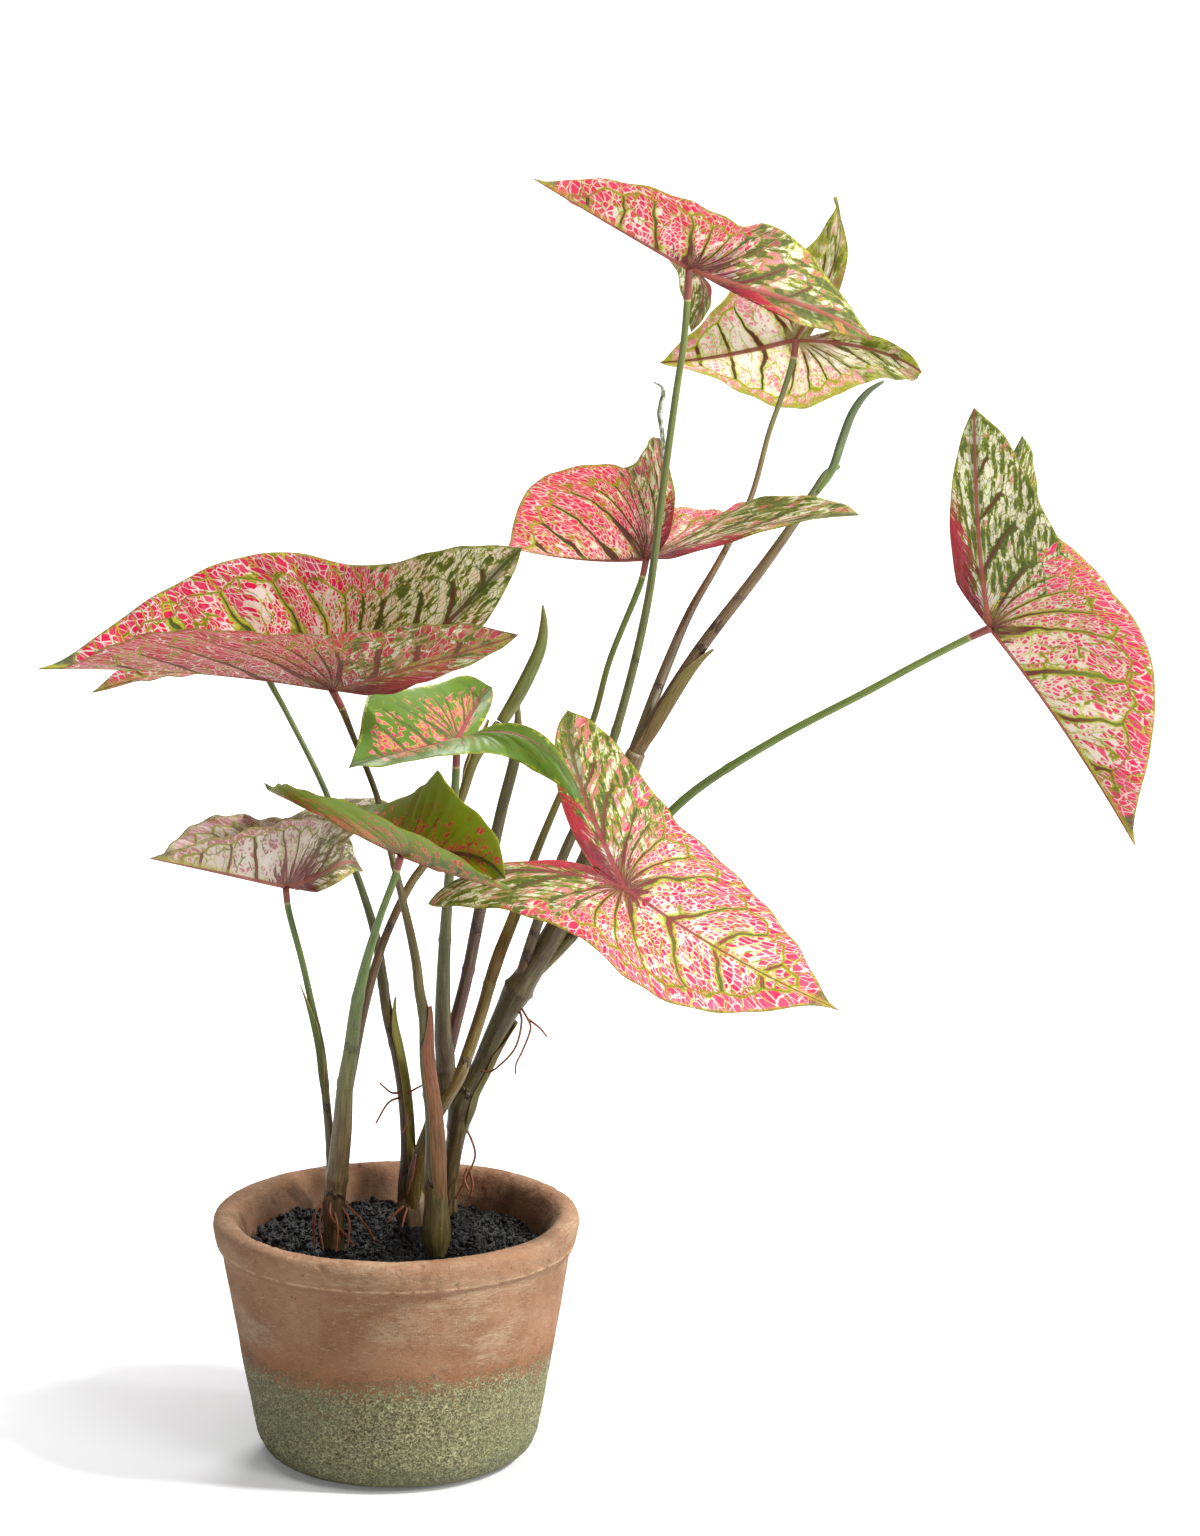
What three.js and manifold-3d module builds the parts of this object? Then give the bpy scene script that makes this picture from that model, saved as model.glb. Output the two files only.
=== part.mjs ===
// A caladium growing in a thick-lipped terracotta pot.
// Millimetres, +Z up, origin at the middle of the pot's base. The plant leans to +X, and -Y is its front.
import * as THREE from 'three';
import { mergeVertices } from 'three/addons/utils/BufferGeometryUtils.js';
import Module from 'manifold-3d';

const wasm = await Module();
wasm.setup();

const seat = 0.35;            // clearance between pieces that touch
const degrees = Math.PI / 180;

const pot = {
  sides: 40,
  steps: 4,                   // of each rounded stretch
  height: 138,
  baseRadius: 60,             // of the flat that it stands on
  cornerRadius: 77,           // where the rounded base corner ends
  cornerHeight: 14,
  wallTopRadius: 95,
  wallTop: 117,               // the lip swells out above this
  lipRadius: 99.2,
  lipHeight: 127,
  lipBulge: 2,                // of the rolled rim beyond the lip
  rimRadius: 94.5,            // highest circle of the rim
  mouthRadius: 82,            // where the rounded mouth meets the inner wall
  mouthHeight: 124,
  floorRadius: 59,
  floorHeight: 13,
  floorCorner: 6,             // rounding between the floor and the inner wall
};

const soil = {
  level: 117.5,               // mean
  sides: 32,
  rings: 8,
  rimDrop: 3.5,               // from the level to where the soil meets the pot
  slope: -0.02,               // lowest along the right
  heap: { x: 5, y: 10, height: 4, spread: 47 },
  coarseLumps: { height: 1.1, turnX: 0.11, turnY: 0.13, start: 1 },
  fineLumps: { height: 0.7, turnX: 0.23, turnY: 0.19 },
};

const blade = {
  thickness: 0.8,
  neckClearance: 0.5,         // from the blade to the end of its petiole
  knotRadius: 2.2,            // kept free of the petiole round the joint
  rings: [0.24, 0.5, 0.76, 1],
  // half outline from the tip, round the basal lobe, to the notch; unit = joint to tip
  outline: [
    [1, 0], [0.93, 0.03], [0.83, 0.1], [0.67, 0.235], [0.46, 0.36], [0.24, 0.41], [0.02, 0.4],
    [-0.2, 0.42], [-0.44, 0.51], [-0.64, 0.575], [-0.77, 0.585], [-0.67, 0.47], [-0.47, 0.27],
    [-0.26, 0.1], [-0.1, 0],
  ],
  lobeTip: 10,                // index of the pointed end of the basal lobe
  lobeFrom: 75,               // degrees from the tip: where the lobe starts, and where it is full
  lobeTo: 140,
  waveTurn: 1.35,             // of the margin's waves, from one outline point to the next
  waveLag: 1.7,               // between the two halves
  steepest: 0.3,              // share of the clearance's slant that is allowed for on a steep fold
  stations: [0, 0.8, 1.7, 2.6, 3.5, 4.4, 5.4, 6.4, 7.4, 8.4, 9.3, 10, 10.8, 11.7, 12.7, 14],
};

// Each blade: the joint on its petiole, then how it is turned and folded.
// Pairs are [left half, right half].
const leaves = {
  top: {
    joint: [158, 0, 654], length: 102, heading: 207, pitch: 29, roll: -7, fold: [58, 8],
    foldRun: [0, 4], curl: [-42, -26], bend: -2, droop: [-6, 38], sway: -0.06, twist: 3,
    spread: [1.2, 0.93], reach: [1.28, 1], breadth: 1.01, wave: 0.025, phase: -75, lobeCurl: [46, -10],
    knotRadius: 2.6,
  },
  behind: {
    joint: [220, 160, 593], length: 105, heading: 147, pitch: -17, roll: 85, fold: [24, 30],
    foldRun: [18, 2], curl: [-30, 10], bend: -20, droop: [46, 36], sway: 0.05, twist: -1,
    spread: [0.96, 1.14], reach: [1.05, 0.93], breadth: 1.04, wave: 0.03, phase: 165,
    lobeCurl: [-4, -14],
  },
  middle: {
    joint: [136, 90, 482], length: 136, heading: 120, pitch: -12, roll: 5, fold: [79, 26],
    foldRun: [-44, 14], curl: [-44, -4], bend: -12, droop: [-22, 32], sway: 0.1, twist: -8,
    spread: [1.02, 1.06], reach: [0.81, 1], breadth: 1.09, wave: 0.025, phase: 180, lobeCurl: [-36, 24],
  },
  right: {
    joint: [320, 10, 459], length: 156, heading: 35, pitch: -47, roll: 13, fold: [93, 59],
    foldRun: [-6, -2], curl: [-14, 8], bend: 13, droop: [-10, -22], sway: -0.13, twist: -9,
    spread: [1, 1.1], reach: [0.81, 1.11], breadth: 1.02, wave: 0.02, phase: 20, lobeCurl: [10, -12],
    knotRadius: 2.6,
  },
  left: {
    joint: [-30, -40, 436], length: 168, heading: 154, pitch: 4, roll: -3, fold: [37, 77],
    foldRun: [-14, -22], curl: [20, -2], bend: 7, droop: [0, -38], sway: 0.14, twist: -2,
    spread: [0.98, 1.08], reach: [1.19, 1.18], breadth: 0.98, wave: 0.01, phase: -190,
    lobeCurl: [-12, 18],
  },
  left_behind: {
    joint: [-75, 100, 421], length: 96, heading: 186, pitch: 0, roll: -2, fold: [13, 26],
    foldRun: [-6, 10], curl: [14, -14], bend: 17, droop: [-2, 6], sway: 0, twist: -4,
    spread: [0.87, 0.89], reach: [0.89, 0.92], breadth: 1.01, wave: 0.015, phase: -110,
    lobeCurl: [-6, -10],
  },
  low_left: {
    joint: [-57, -20, 324], length: 94, heading: 222, pitch: 19, roll: 1, fold: [78, 70],
    foldRun: [-26, -40], curl: [-60, -70], bend: 1, droop: [-10, 40], sway: -0.03, twist: 2,
    spread: [1.11, 0.9], reach: [0.98, 1], breadth: 1.15, wave: 0.025, phase: -10, lobeCurl: [42, 4],
  },
  front: {
    joint: [124, -75, 337], length: 129, heading: -13, pitch: -34, roll: 59, fold: [-23, 45],
    foldRun: [-4, -20], curl: [-28, -20], bend: -5, droop: [66, 80], sway: 0.1, twist: -7,
    spread: [1.05, 1.08], reach: [1.16, 0.9], breadth: 1.12, wave: 0.02, phase: -65, lobeCurl: [8, -38],
  },
  green_high: {
    joint: [35, -20, 404], length: 90, heading: 229, pitch: 2, roll: 15, fold: [15, 53],
    foldRun: [-8, 10], curl: [-114, -2], bend: 4, droop: [10, 12], sway: 0.06, twist: -5,
    spread: [0.69, 1.05], reach: [1.03, 0.97], breadth: 1.16, wave: 0.035, phase: 120,
    lobeCurl: [58, 2],
  },
  green_low: {
    joint: [7, -80, 356], length: 115, heading: 133, pitch: 8, roll: -5, fold: [48, 66],
    foldRun: [-28, -104], curl: [24, -54], bend: -4, droop: [-18, 6], sway: -0.01, twist: 4,
    spread: [1.21, 1.12], reach: [1, 0.98], breadth: 1.03, wave: 0.035, phase: -135,
    lobeCurl: [-22, -18],
  },
};

// Stems: x, y, z and radius along each, from the blade or tip down.
const stems = {
  trunk: [
    [131, 50, 382.5, 5.2], [120, 50, 356, 6.4], [105.5, 50, 322, 6.6], [88, 53, 283, 6.6],
    [71.5, 56, 255.5, 6.4], [65.5, 57, 245.5, 7.2], [60.5, 58, 235.5, 5.4], [50.5, 59, 214, 4.8],
    [45, 60, 201, 4.7], [38, 60, 188.5, 5.6], [34.5, 60, 179.5, 6.8], [31.5, 60, 162.5, 5],
    [28, 61, 140, 4.6], [27, 61, 124, 5],
  ],
  topPetiole: [
    [158, 0, 654, 1.9], [157.5, 1, 642.5, 1.9], [155.5, 4, 615.5, 1.8], [151, 8, 583, 1.9],
    [144, 13, 528.5, 2], [137, 19, 473, 2.2], [124.5, 26, 416.5, 2.4], [111, 32, 372, 2.6],
    [93, 39, 331.5, 2.8], [76.5, 46, 286, 3], [66, 56, 250, 3.2],
  ],
  behindPetiole: [
    [220, 160, 593.5, 1.8], [219, 159, 584, 1.8], [213, 154, 564.5, 1.5], [205.5, 148, 544, 1.5],
    [194.5, 138, 506.5, 1.6], [177.5, 124, 475, 1.9], [161, 108, 449, 2.4], [145.5, 85, 417.5, 3],
    [130, 52, 383, 3.4],
  ],
  rightPetiole: [
    [320.5, 10, 459.5, 2.3], [310.5, 12, 454.5, 2.1], [283, 17, 439, 2], [256.5, 22, 423, 2.1],
    [208.5, 31, 395, 2.2], [165.5, 39, 365.5, 2.4], [148, 42, 349, 2.5], [122, 46, 316.5, 2.7],
    [98.5, 51, 281.5, 2.9], [70, 57, 250, 3.2],
  ],
  frontPetiole: [
    [124, -75, 337, 2.4], [121, -64, 327.5, 2.2], [115, -38, 314, 2.2], [106.5, -8, 304.5, 2.4],
    [97, 26, 297, 2.8], [90, 52, 287, 3.2],
  ],
  rightSheath: [
    [242, 84, 534.5, 0.9], [235.5, 82, 531.5, 2.2], [229, 80, 522.5, 2.4], [216.5, 76, 504, 2.6],
    [198.5, 70, 479.5, 3], [165.5, 60, 437.5, 3.4], [146, 54, 407.5, 4], [129, 50, 379, 4.4],
  ],
  rightFurled: [
    [265.5, 87, 581, 0.8], [257, 88, 575, 1.7], [249, 88, 564, 2.2], [243, 86, 548.5, 2.4],
    [237.5, 82, 533, 2.3], [229, 79, 521, 1.8],
  ],
  leftBehindPetiole: [
    [-75.5, 100, 421.5, 1.8], [-71, 98, 411.5, 1.8], [-62, 94, 395.5, 1.6], [-40.5, 82, 354, 1.7],
    [-29.5, 72, 325.5, 1.9], [-21, 65, 305, 2.1], [-12, 56, 276.5, 2.6], [-5.5, 46, 235.5, 3.2],
    [-0.5, 41, 215.5, 3.4], [3.5, 37, 190.5, 3.6], [5, 35, 161.5, 3.8], [4, 33, 138, 4.6],
    [5, 33, 122, 5],
  ],
  greenHighPetiole: [
    [35, -20, 403.5, 2.1], [34.5, -18, 389, 2.2], [32, -8, 352.5, 2.4], [30, 0, 326.5, 2.6],
    [26.5, 13, 275, 3.6], [25.5, 24, 230.5, 4.8], [26.5, 27, 215, 5.4], [24.5, 31, 194, 4.4],
    [17.5, 34, 173, 4.2], [13, 36, 154, 4.4], [11.5, 37, 134, 4.8], [11.5, 36, 122, 5],
  ],
  darkShoot: [
    [67, 30, 412.5, 1.2], [66.5, 30, 396.5, 2.8], [65, 30, 383.5, 3.1], [58, 30, 355.5, 3.2],
    [46.5, 30, 302, 3.4], [38.5, 29, 261.5, 3.4], [32.5, 28, 237.5, 3.6], [26.5, 27, 213, 3.6],
  ],
  middlePetiole: [
    [136.5, 90, 482, 1.9], [134, 89, 470.5, 1.8], [116.5, 82, 427, 1.7], [107, 77, 393.5, 1.8],
    [86.5, 70, 347, 2.1], [75.5, 66, 320.5, 2.4], [63.5, 60, 288, 2.8], [54, 53, 264.5, 3.2],
    [47, 46, 240.5, 3.4], [39, 38, 217, 3.5], [34, 31, 204.5, 3.5], [26, 26, 191.5, 3.5],
    [17, 25, 175, 3.6], [10, 27, 152, 4], [8, 30, 131.5, 4.6], [8, 32, 121, 5],
  ],
  greenLowPetiole: [
    [7, -80, 356, 2], [3.5, -77, 343.5, 2], [-4.5, -68, 320.5, 2], [-12.5, -56, 293, 2.6],
    [-18.5, -46, 266, 3.4], [-22.5, -37, 237, 4], [-25.5, -32, 219, 4.4], [-28, -24, 190, 5.4],
    [-31.5, -18, 159, 5.8], [-33, -15, 144, 5.6], [-33, -13, 122, 5],
  ],
  centreSheath: [
    [57.5, 15, 406, 3.2], [44, 13, 388, 3], [35.5, 8, 364, 2.4], [18.5, -1, 334.5, 2.3],
    [9.5, -6, 322.5, 2.3], [-5, -17, 293, 2.3], [-15, -28, 260.5, 2.6], [-24, -31, 219, 3.2],
  ],
  centreFurled: [
    [80.5, 22, 469.5, 0.6], [81, 22, 460.5, 2], [79.5, 21, 448, 3.2], [73.5, 19, 433.5, 3.8],
    [65, 17, 417.5, 3.8], [58, 15.1, 406.6, 3.2],
  ],
  lowLeftPetiole: [
    [-57, -20, 324, 1.9], [-56, -20, 313, 1.8], [-49, -19, 283.5, 1.8], [-42.5, -17, 251, 1.9],
    [-39, -16, 231.5, 2.2], [-37, -15, 205.5, 2.3], [-35.5, -15, 187.5, 2.4], [-34.5, -14, 167.5, 2.8],
    [-35.5, -13, 147.5, 3.4], [-36, -12, 122, 3.8],
  ],
  leftPetiole: [
    [-30, -40, 436, 2.2], [-25.5, -36, 425.6, 2.1], [-21, -27, 411, 1.7], [-8, -2, 368, 1.7],
    [-0.5, -10, 339, 1.9], [4.5, -19, 321.4, 2.1], [12.5, -26, 285.4, 2.6], [14.5, -28, 268, 2.9],
    [17, -29, 254.6, 3.2], [18, -29, 229, 3.8], [21, -27, 202, 4.2], [22, -26, 185, 4.7],
    [22, -25, 163.5, 5], [22.5, -23, 143.5, 6.4], [22.5, -23, 132, 7], [22.5, -22, 122, 5.8],
  ],
};

const rootShape = { radius: 0.9, endRadius: 0.5, sides: 5, step: 9 };
const mainRoots = [
  [[66.5, 57, 236], [68, 52, 230.5], [64.5, 49, 216], [56.5, 49, 206.5], [50, 51, 201.5], [43, 57, 202]],
  [[67.5, 57, 237], [71.5, 51, 231.5], [73, 50, 227.5], [68.5, 48, 214.5], [65, 48, 207], [64.5, 49, 201]],
  [[71, 52, 232], [78.5, 48, 227], [82, 46, 223]],
  [[34, 60, 172], [40, 56, 161], [42, 55, 152.5], [39, 54, 144], [35, 54, 135.5], [31, 55, 127.5]],
  [[39, 54, 144], [40.5, 53, 135.5], [39, 53, 128.5]],
];
const centreRoots = [
  [[3, 37, 194], [-3, 32, 195], [-9.5, 28, 201.5]],
  [[3.5, 37, 191.5], [-4.5, 31, 190], [-12, 28, 178.5]],
  [[3.5, 36, 192], [9, 31, 197], [14.5, 27, 201]],
  [[3, 37, 189.5], [5.5, 31, 181], [2.5, 28, 172.5]],
];
const leftRoots = [
  [[-36, -14, 151], [-43, -19, 142], [-44.5, -16, 131], [-43.5, -17, 124.5]],
  [[-33.5, -17, 151.5], [-35, -24, 143.5], [-30, -20, 133], [-22.5, -14, 124.5]],
  [[-30, -17, 149.5], [-22.5, -16, 141.5], [-15, -10, 130], [-12, -6, 125]],
  [[-31, -17, 147.5], [-25, -20, 138.5], [-26, -22, 125]],
];

// Where each cane stands in the soil: x, y and radius of its plain foot.
const feet = {
  main: [[27, 61, 5]],
  centre: [[8, 34, 7.5]],
  left: [[-33, -13, 5], [-37, -11.5, 3.6]],
  front: [[22.5, -22, 5.8]],
};
const footDepth = 22.5;       // below the soil's mean level
const footRise = 8.5;         // above it
const stemCut = 4.5;          // stems end level at this height above the soil, inside their feet

function hermite(from, to, slopeFrom, slopeTo, f) {
  const g = f * f * (3 - 2 * f);
  return from * (1 - g) + to * g + slopeFrom * (f * (1 - f) * (1 - f)) - slopeTo * (f * f * (1 - f));
}

// A smooth curve through the outline's points, with a corner at the tip of the basal lobe.
function outlineAt(s) {
  const points = blade.outline;
  const last = points.length - 1;
  const i = Math.min(Math.floor(s), last - 1);
  const before = points[Math.max(i - 1, 0)];
  const from = points[i];
  const to = points[i + 1];
  const after = points[Math.min(i + 2, last)];
  return [0, 1].map((k) => {
    const chord = to[k] - from[k];
    const slopeFrom = i === 0 || i === blade.lobeTip ? chord : (to[k] - before[k]) / 2;
    const slopeTo = i + 1 === last || i + 1 === blade.lobeTip ? chord : (after[k] - from[k]) / 2;
    return hermite(from[k], to[k], slopeFrom, slopeTo, s - i);
  });
}

// How far along and off a circular bend of curvature k a length reaches, having set out at an angle.
function arc(length, k, angle = 0) {
  const half = (k * length) / 2;
  const chord = Math.abs(half) < 1e-6 ? length : (length * Math.sin(half)) / half;
  return [chord * Math.cos(angle + half), chord * Math.sin(angle + half)];
}

// A point of a blade. side is 0 (left) or 1 (right), s runs along the outline,
// t from the joint to the edge.
function bladePoint(leaf, side, s, t) {
  const sign = side === 0 ? 1 : -1;
  const notch = blade.outline.length - 1;
  const [u, v] = outlineAt(s);
  let angle = Math.atan2(v, u) / degrees;
  const lobe = THREE.MathUtils.smoothstep(angle, blade.lobeFrom, blade.lobeTo);
  const radius = Math.hypot(u, v) * t * (1 + (leaf.reach[side] - 1) * lobe);
  angle = s >= notch ? 180 : angle * (1 + (leaf.spread[side] - 1) * Math.min(angle / blade.lobeTo, 1));
  const along = radius * Math.cos(angle * degrees);
  const off = Math.abs(radius * Math.sin(angle * degrees)) * leaf.breadth;
  const back = Math.max(-along, 0);

  const fold = degrees * (leaf.fold[side] + leaf.foldRun[side] * along + 2 * leaf.lobeCurl[side] * back);
  const curl = leaf.curl[side] * degrees;
  let [y, z] = arc(off, curl, fold);
  const fade = Math.min(s / 2, 1) * Math.min((notch - s) / 3, 1);
  const swing = Math.sin(s * blade.waveTurn + leaf.phase * degrees + side * blade.waveLag);
  const wave = leaf.wave * swing * t * t * fade;
  y -= wave * Math.sin(fold + curl * off);
  z += wave * Math.cos(fold + curl * off);

  const droop = s >= notch ? (leaf.droop[0] + leaf.droop[1]) / 2 : leaf.droop[side];
  const bend = (along > 0 ? leaf.bend : droop) * degrees;
  const [run, fall] = arc(along, bend);
  const x = run + z * Math.sin(bend * along);
  z = z * Math.cos(bend * along) - fall;
  const twist = leaf.twist * degrees * along;
  const spun = sign * y * Math.cos(twist) - z * Math.sin(twist);
  z = sign * y * Math.sin(twist) + z * Math.cos(twist);
  return new THREE.Vector3(x, spun + leaf.sway * along * Math.abs(along), z);
}

function bladeFrame(leaf) {
  const turn = new THREE.Matrix4().makeRotationZ(leaf.heading * degrees);
  turn.multiply(new THREE.Matrix4().makeRotationY(-leaf.pitch * degrees));
  turn.multiply(new THREE.Matrix4().makeRotationX(leaf.roll * degrees));
  turn.scale(new THREE.Vector3(leaf.length, leaf.length, leaf.length));
  return turn.setPosition(...leaf.joint);
}

// The middle surface as rows of points: the joint, then rings of the right half from tip to notch
// and the left half back to the tip.
function bladeSurface(leaf) {
  const frame = bladeFrame(leaf);
  const count = blade.stations.length;
  const points = [new THREE.Vector3().applyMatrix4(frame)];
  for (const t of blade.rings) {
    for (let i = 0; i < 2 * (count - 1); i++) {
      const side = i < count ? 1 : 0;
      const station = side === 1 ? blade.stations[i] : blade.stations[2 * (count - 1) - i];
      points.push(bladePoint(leaf, side, station, t).applyMatrix4(frame));
    }
  }
  const around = 2 * (count - 1);
  const faces = [];
  for (let i = 0; i < around; i++) {
    const next = (i + 1) % around;
    faces.push([0, 1 + next, 1 + i]);
    for (let ring = 0; ring < blade.rings.length - 1; ring++) {
      const inner = 1 + ring * around;
      const outer = inner + around;
      faces.push([inner + i, inner + next, outer + next], [inner + i, outer + next, outer + i]);
    }
  }
  return { points, faces, around };
}

function bladeSolid(leaf, thickness) {
  const { points, faces, around } = bladeSurface(leaf);
  const normals = points.map(() => new THREE.Vector3());
  for (const [a, b, c] of faces) {
    const ab = points[b].clone().sub(points[a]);
    const ac = points[c].clone().sub(points[a]);
    const normal = ab.cross(ac);
    for (const index of [a, b, c]) normals[index].add(normal);
  }
  normals.forEach((normal) => normal.normalize().multiplyScalar(thickness / 2));
  const total = points.length;
  const shell = [
    ...points.map((point, i) => point.clone().add(normals[i])),
    ...points.map((point, i) => point.clone().sub(normals[i])),
  ];
  const skin = faces.flatMap(([a, b, c]) => [[a, b, c], [total + a, total + c, total + b]]);
  const rim = total - around;
  for (let i = 0; i < around; i++) {
    const a = rim + i;
    const b = rim + ((i + 1) % around);
    skin.push([a, b, total + b], [a, total + b, total + a]);
  }
  return solidFrom(shell, skin);
}

function solidFrom(points, faces) {
  const vertProperties = Float32Array.from(points.flatMap((point) => point.toArray()));
  let triVerts = Uint32Array.from(faces.flat());
  let solid = new wasm.Manifold(new wasm.Mesh({ numProp: 3, vertProperties, triVerts }));
  if (solid.volume() < 0) {
    triVerts = Uint32Array.from(faces.flatMap(([a, b, c]) => [a, c, b]));
    solid = new wasm.Manifold(new wasm.Mesh({ numProp: 3, vertProperties, triVerts }));
  }
  return solid;
}

function solidOf(geometry) {
  geometry.deleteAttribute('normal');
  geometry.deleteAttribute('uv');
  const merged = mergeVertices(geometry, 1e-4);
  const vertProperties = Float32Array.from(merged.attributes.position.array);
  const triVerts = Uint32Array.from(merged.index.array);
  return new wasm.Manifold(new wasm.Mesh({ numProp: 3, vertProperties, triVerts }));
}

function geometryOf(solid) {
  const mesh = solid.getMesh();
  const geometry = new THREE.BufferGeometry();
  geometry.setAttribute('position', new THREE.BufferAttribute(mesh.vertProperties, 3));
  geometry.setIndex(new THREE.BufferAttribute(mesh.triVerts, 1));
  geometry.computeVertexNormals();
  return geometry;
}

const unite = (solids) => solids.reduce((whole, solid) => whole.add(solid));

// The body that matters, without the scraps that a cut leaves behind.
function largest(solid) {
  return solid.decompose().sort((a, b) => b.volume() - a.volume())[0];
}

// A round stem through x, y, z, radius points, with flat ends.
function stem(route, sides = 8, step = 18) {
  const path = route.map(([x, y, z]) => new THREE.Vector3(x, y, z));
  const curve = new THREE.CatmullRomCurve3(path, false, 'centripetal');
  const rows = Math.max(route.length - 1, Math.round(curve.getLength() / step));
  const frames = curve.computeFrenetFrames(rows, false);
  const points = [];
  const faces = [];
  for (let row = 0; row <= rows; row++) {
    const centre = curve.getPointAt(row / rows);
    const place = curve.getUtoTmapping(row / rows) * (route.length - 1);
    const i = Math.min(Math.floor(place), route.length - 2);
    const radius = THREE.MathUtils.lerp(route[i][3], route[i + 1][3], place - i);
    for (let k = 0; k < sides; k++) {
      const angle = (2 * Math.PI * k) / sides;
      const point = centre.clone().addScaledVector(frames.normals[row], Math.cos(angle) * radius);
      points.push(point.addScaledVector(frames.binormals[row], Math.sin(angle) * radius));
    }
  }
  for (let row = 0; row < rows; row++) {
    for (let k = 0; k < sides; k++) {
      const a = row * sides + k;
      const b = row * sides + ((k + 1) % sides);
      faces.push([a, b, b + sides], [a, b + sides, a + sides]);
    }
  }
  for (let k = 1; k < sides - 1; k++) {
    faces.push([0, k + 1, k], [rows * sides, rows * sides + k, rows * sides + k + 1]);
  }
  return solidFrom(points, faces);
}

function root(route) {
  const { radius, endRadius, sides, step } = rootShape;
  const sized = route.map((point, i) => [...point, i === route.length - 1 ? endRadius : radius]);
  return stem(sized, sides, step);
}

function foot([x, y, radius], grow, bottom, top) {
  const geometry = new THREE.CylinderGeometry(radius + grow, radius + grow, top - bottom, 12);
  geometry.rotateX(Math.PI / 2).translate(x, y, (top + bottom) / 2);
  return solidOf(geometry);
}

// Turned from a half section: along the base, up the wall, over the rolled rim and down the inside.
function potSolid() {
  const rimMiddle = (pot.rimRadius + pot.mouthRadius) / 2;
  const cornerInside = pot.floorRadius + pot.floorCorner;
  const section = new THREE.Path();
  section.moveTo(0, 0);
  section.lineTo(pot.baseRadius, 0);
  section.quadraticCurveTo(pot.cornerRadius - pot.lipBulge, 0, pot.cornerRadius, pot.cornerHeight);
  section.lineTo(pot.wallTopRadius, pot.wallTop);
  section.quadraticCurveTo(pot.lipRadius - pot.lipBulge, pot.wallTop, pot.lipRadius, pot.lipHeight);
  section.quadraticCurveTo(pot.lipRadius + pot.lipBulge, pot.height, pot.rimRadius, pot.height);
  section.quadraticCurveTo(rimMiddle, pot.height, pot.mouthRadius, pot.mouthHeight);
  section.lineTo(cornerInside, pot.floorHeight + pot.floorCorner);
  section.quadraticCurveTo(cornerInside, pot.floorHeight, pot.floorRadius, pot.floorHeight);
  section.lineTo(0, pot.floorHeight);
  return solidOf(new THREE.LatheGeometry(section.getPoints(pot.steps), pot.sides).rotateX(Math.PI / 2));
}

// The top of the soil is uneven, and heaped a little round the stems.
function soilHeight(x, y) {
  const { level, slope, heap, coarseLumps: coarse, fineLumps: fine } = soil;
  const middle = heap.height * Math.exp(-((x - heap.x) ** 2 + (y - heap.y) ** 2) / heap.spread ** 2);
  const lumps = coarse.height * Math.sin(x * coarse.turnX + coarse.start) * Math.cos(y * coarse.turnY);
  const small = fine.height * Math.sin(x * fine.turnX - y * fine.turnY);
  return level + middle + lumps + small + slope * x;
}

// The pot's inner radius above its floor's rounded corner.
function innerRadius(z) {
  const cornerTop = pot.floorHeight + pot.floorCorner;
  const rise = (z - cornerTop) / (pot.mouthHeight - cornerTop);
  return THREE.MathUtils.lerp(pot.floorRadius + pot.floorCorner, pot.mouthRadius, rise);
}

// Soil fills the pot from its floor. Rows of points run from the middle of the top out and down the wall.
function soilSolid() {
  const fit = Math.cos(Math.PI / pot.sides);
  const cornerTop = pot.floorHeight + pot.floorCorner;
  const edge = innerRadius(soil.level - soil.rimDrop) * fit - seat;
  const rows = [];
  for (let ring = 1; ring <= soil.rings; ring++) rows.push([(edge * ring) / soil.rings, null]);
  rows.push([innerRadius(cornerTop) * fit - seat, cornerTop + seat]);
  rows.push([pot.floorRadius * fit - seat, pot.floorHeight + seat]);
  const points = rows.flatMap(([radius, z]) => Array.from({ length: soil.sides }, (_, k) => {
    const angle = (2 * Math.PI * k) / soil.sides;
    const x = radius * Math.cos(angle);
    const y = radius * Math.sin(angle);
    return new THREE.Vector3(x, y, z ?? soilHeight(x, y));
  }));
  const top = points.length;
  points.push(new THREE.Vector3(0, 0, soilHeight(0, 0)), new THREE.Vector3(0, 0, pot.floorHeight + seat));
  const faces = [];
  for (let k = 0; k < soil.sides; k++) {
    const next = (k + 1) % soil.sides;
    const last = (rows.length - 1) * soil.sides;
    faces.push([top, k, next], [top + 1, last + next, last + k]);
    for (let a = 0; a < last; a += soil.sides) {
      const b = a + soil.sides;
      faces.push([a + k, b + k, b + next], [a + k, b + next, a + next]);
    }
  }
  return solidFrom(points, faces);
}

const footBottom = soil.level - footDepth;
const footTop = soil.level + footRise;
const allFeet = Object.values(feet).flat();
const holes = allFeet.map((place) => foot(place, seat, footBottom - seat, pot.height));
const soilBody = largest(soilSolid().subtract(unite(holes)));

function cane(routes, places, roots = []) {
  const parts = [...routes.map((route) => stem(route)), ...roots.map(root)];
  const lifted = unite(parts).trimByPlane([0, 0, 1], soil.level + stemCut);
  return lifted.add(unite(places.map((place) => foot(place, 0, footBottom, footTop))));
}

// A petiole ends just under its blade, so the blade with its clearance is cut away from the cane.
function clearOf(solid, names) {
  const cut = names.map((name) => {
    const { fold, joint, knotRadius = blade.knotRadius } = leaves[name];
    const steepness = Math.max(Math.cos(((fold[0] + fold[1]) / 2) * degrees), blade.steepest);
    const knot = solidOf(new THREE.IcosahedronGeometry(knotRadius, 1).translate(...joint));
    return bladeSolid(leaves[name], blade.thickness + (2 * blade.neckClearance) / steepness).add(knot);
  });
  return largest(solid.subtract(unite(cut)));
}

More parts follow.
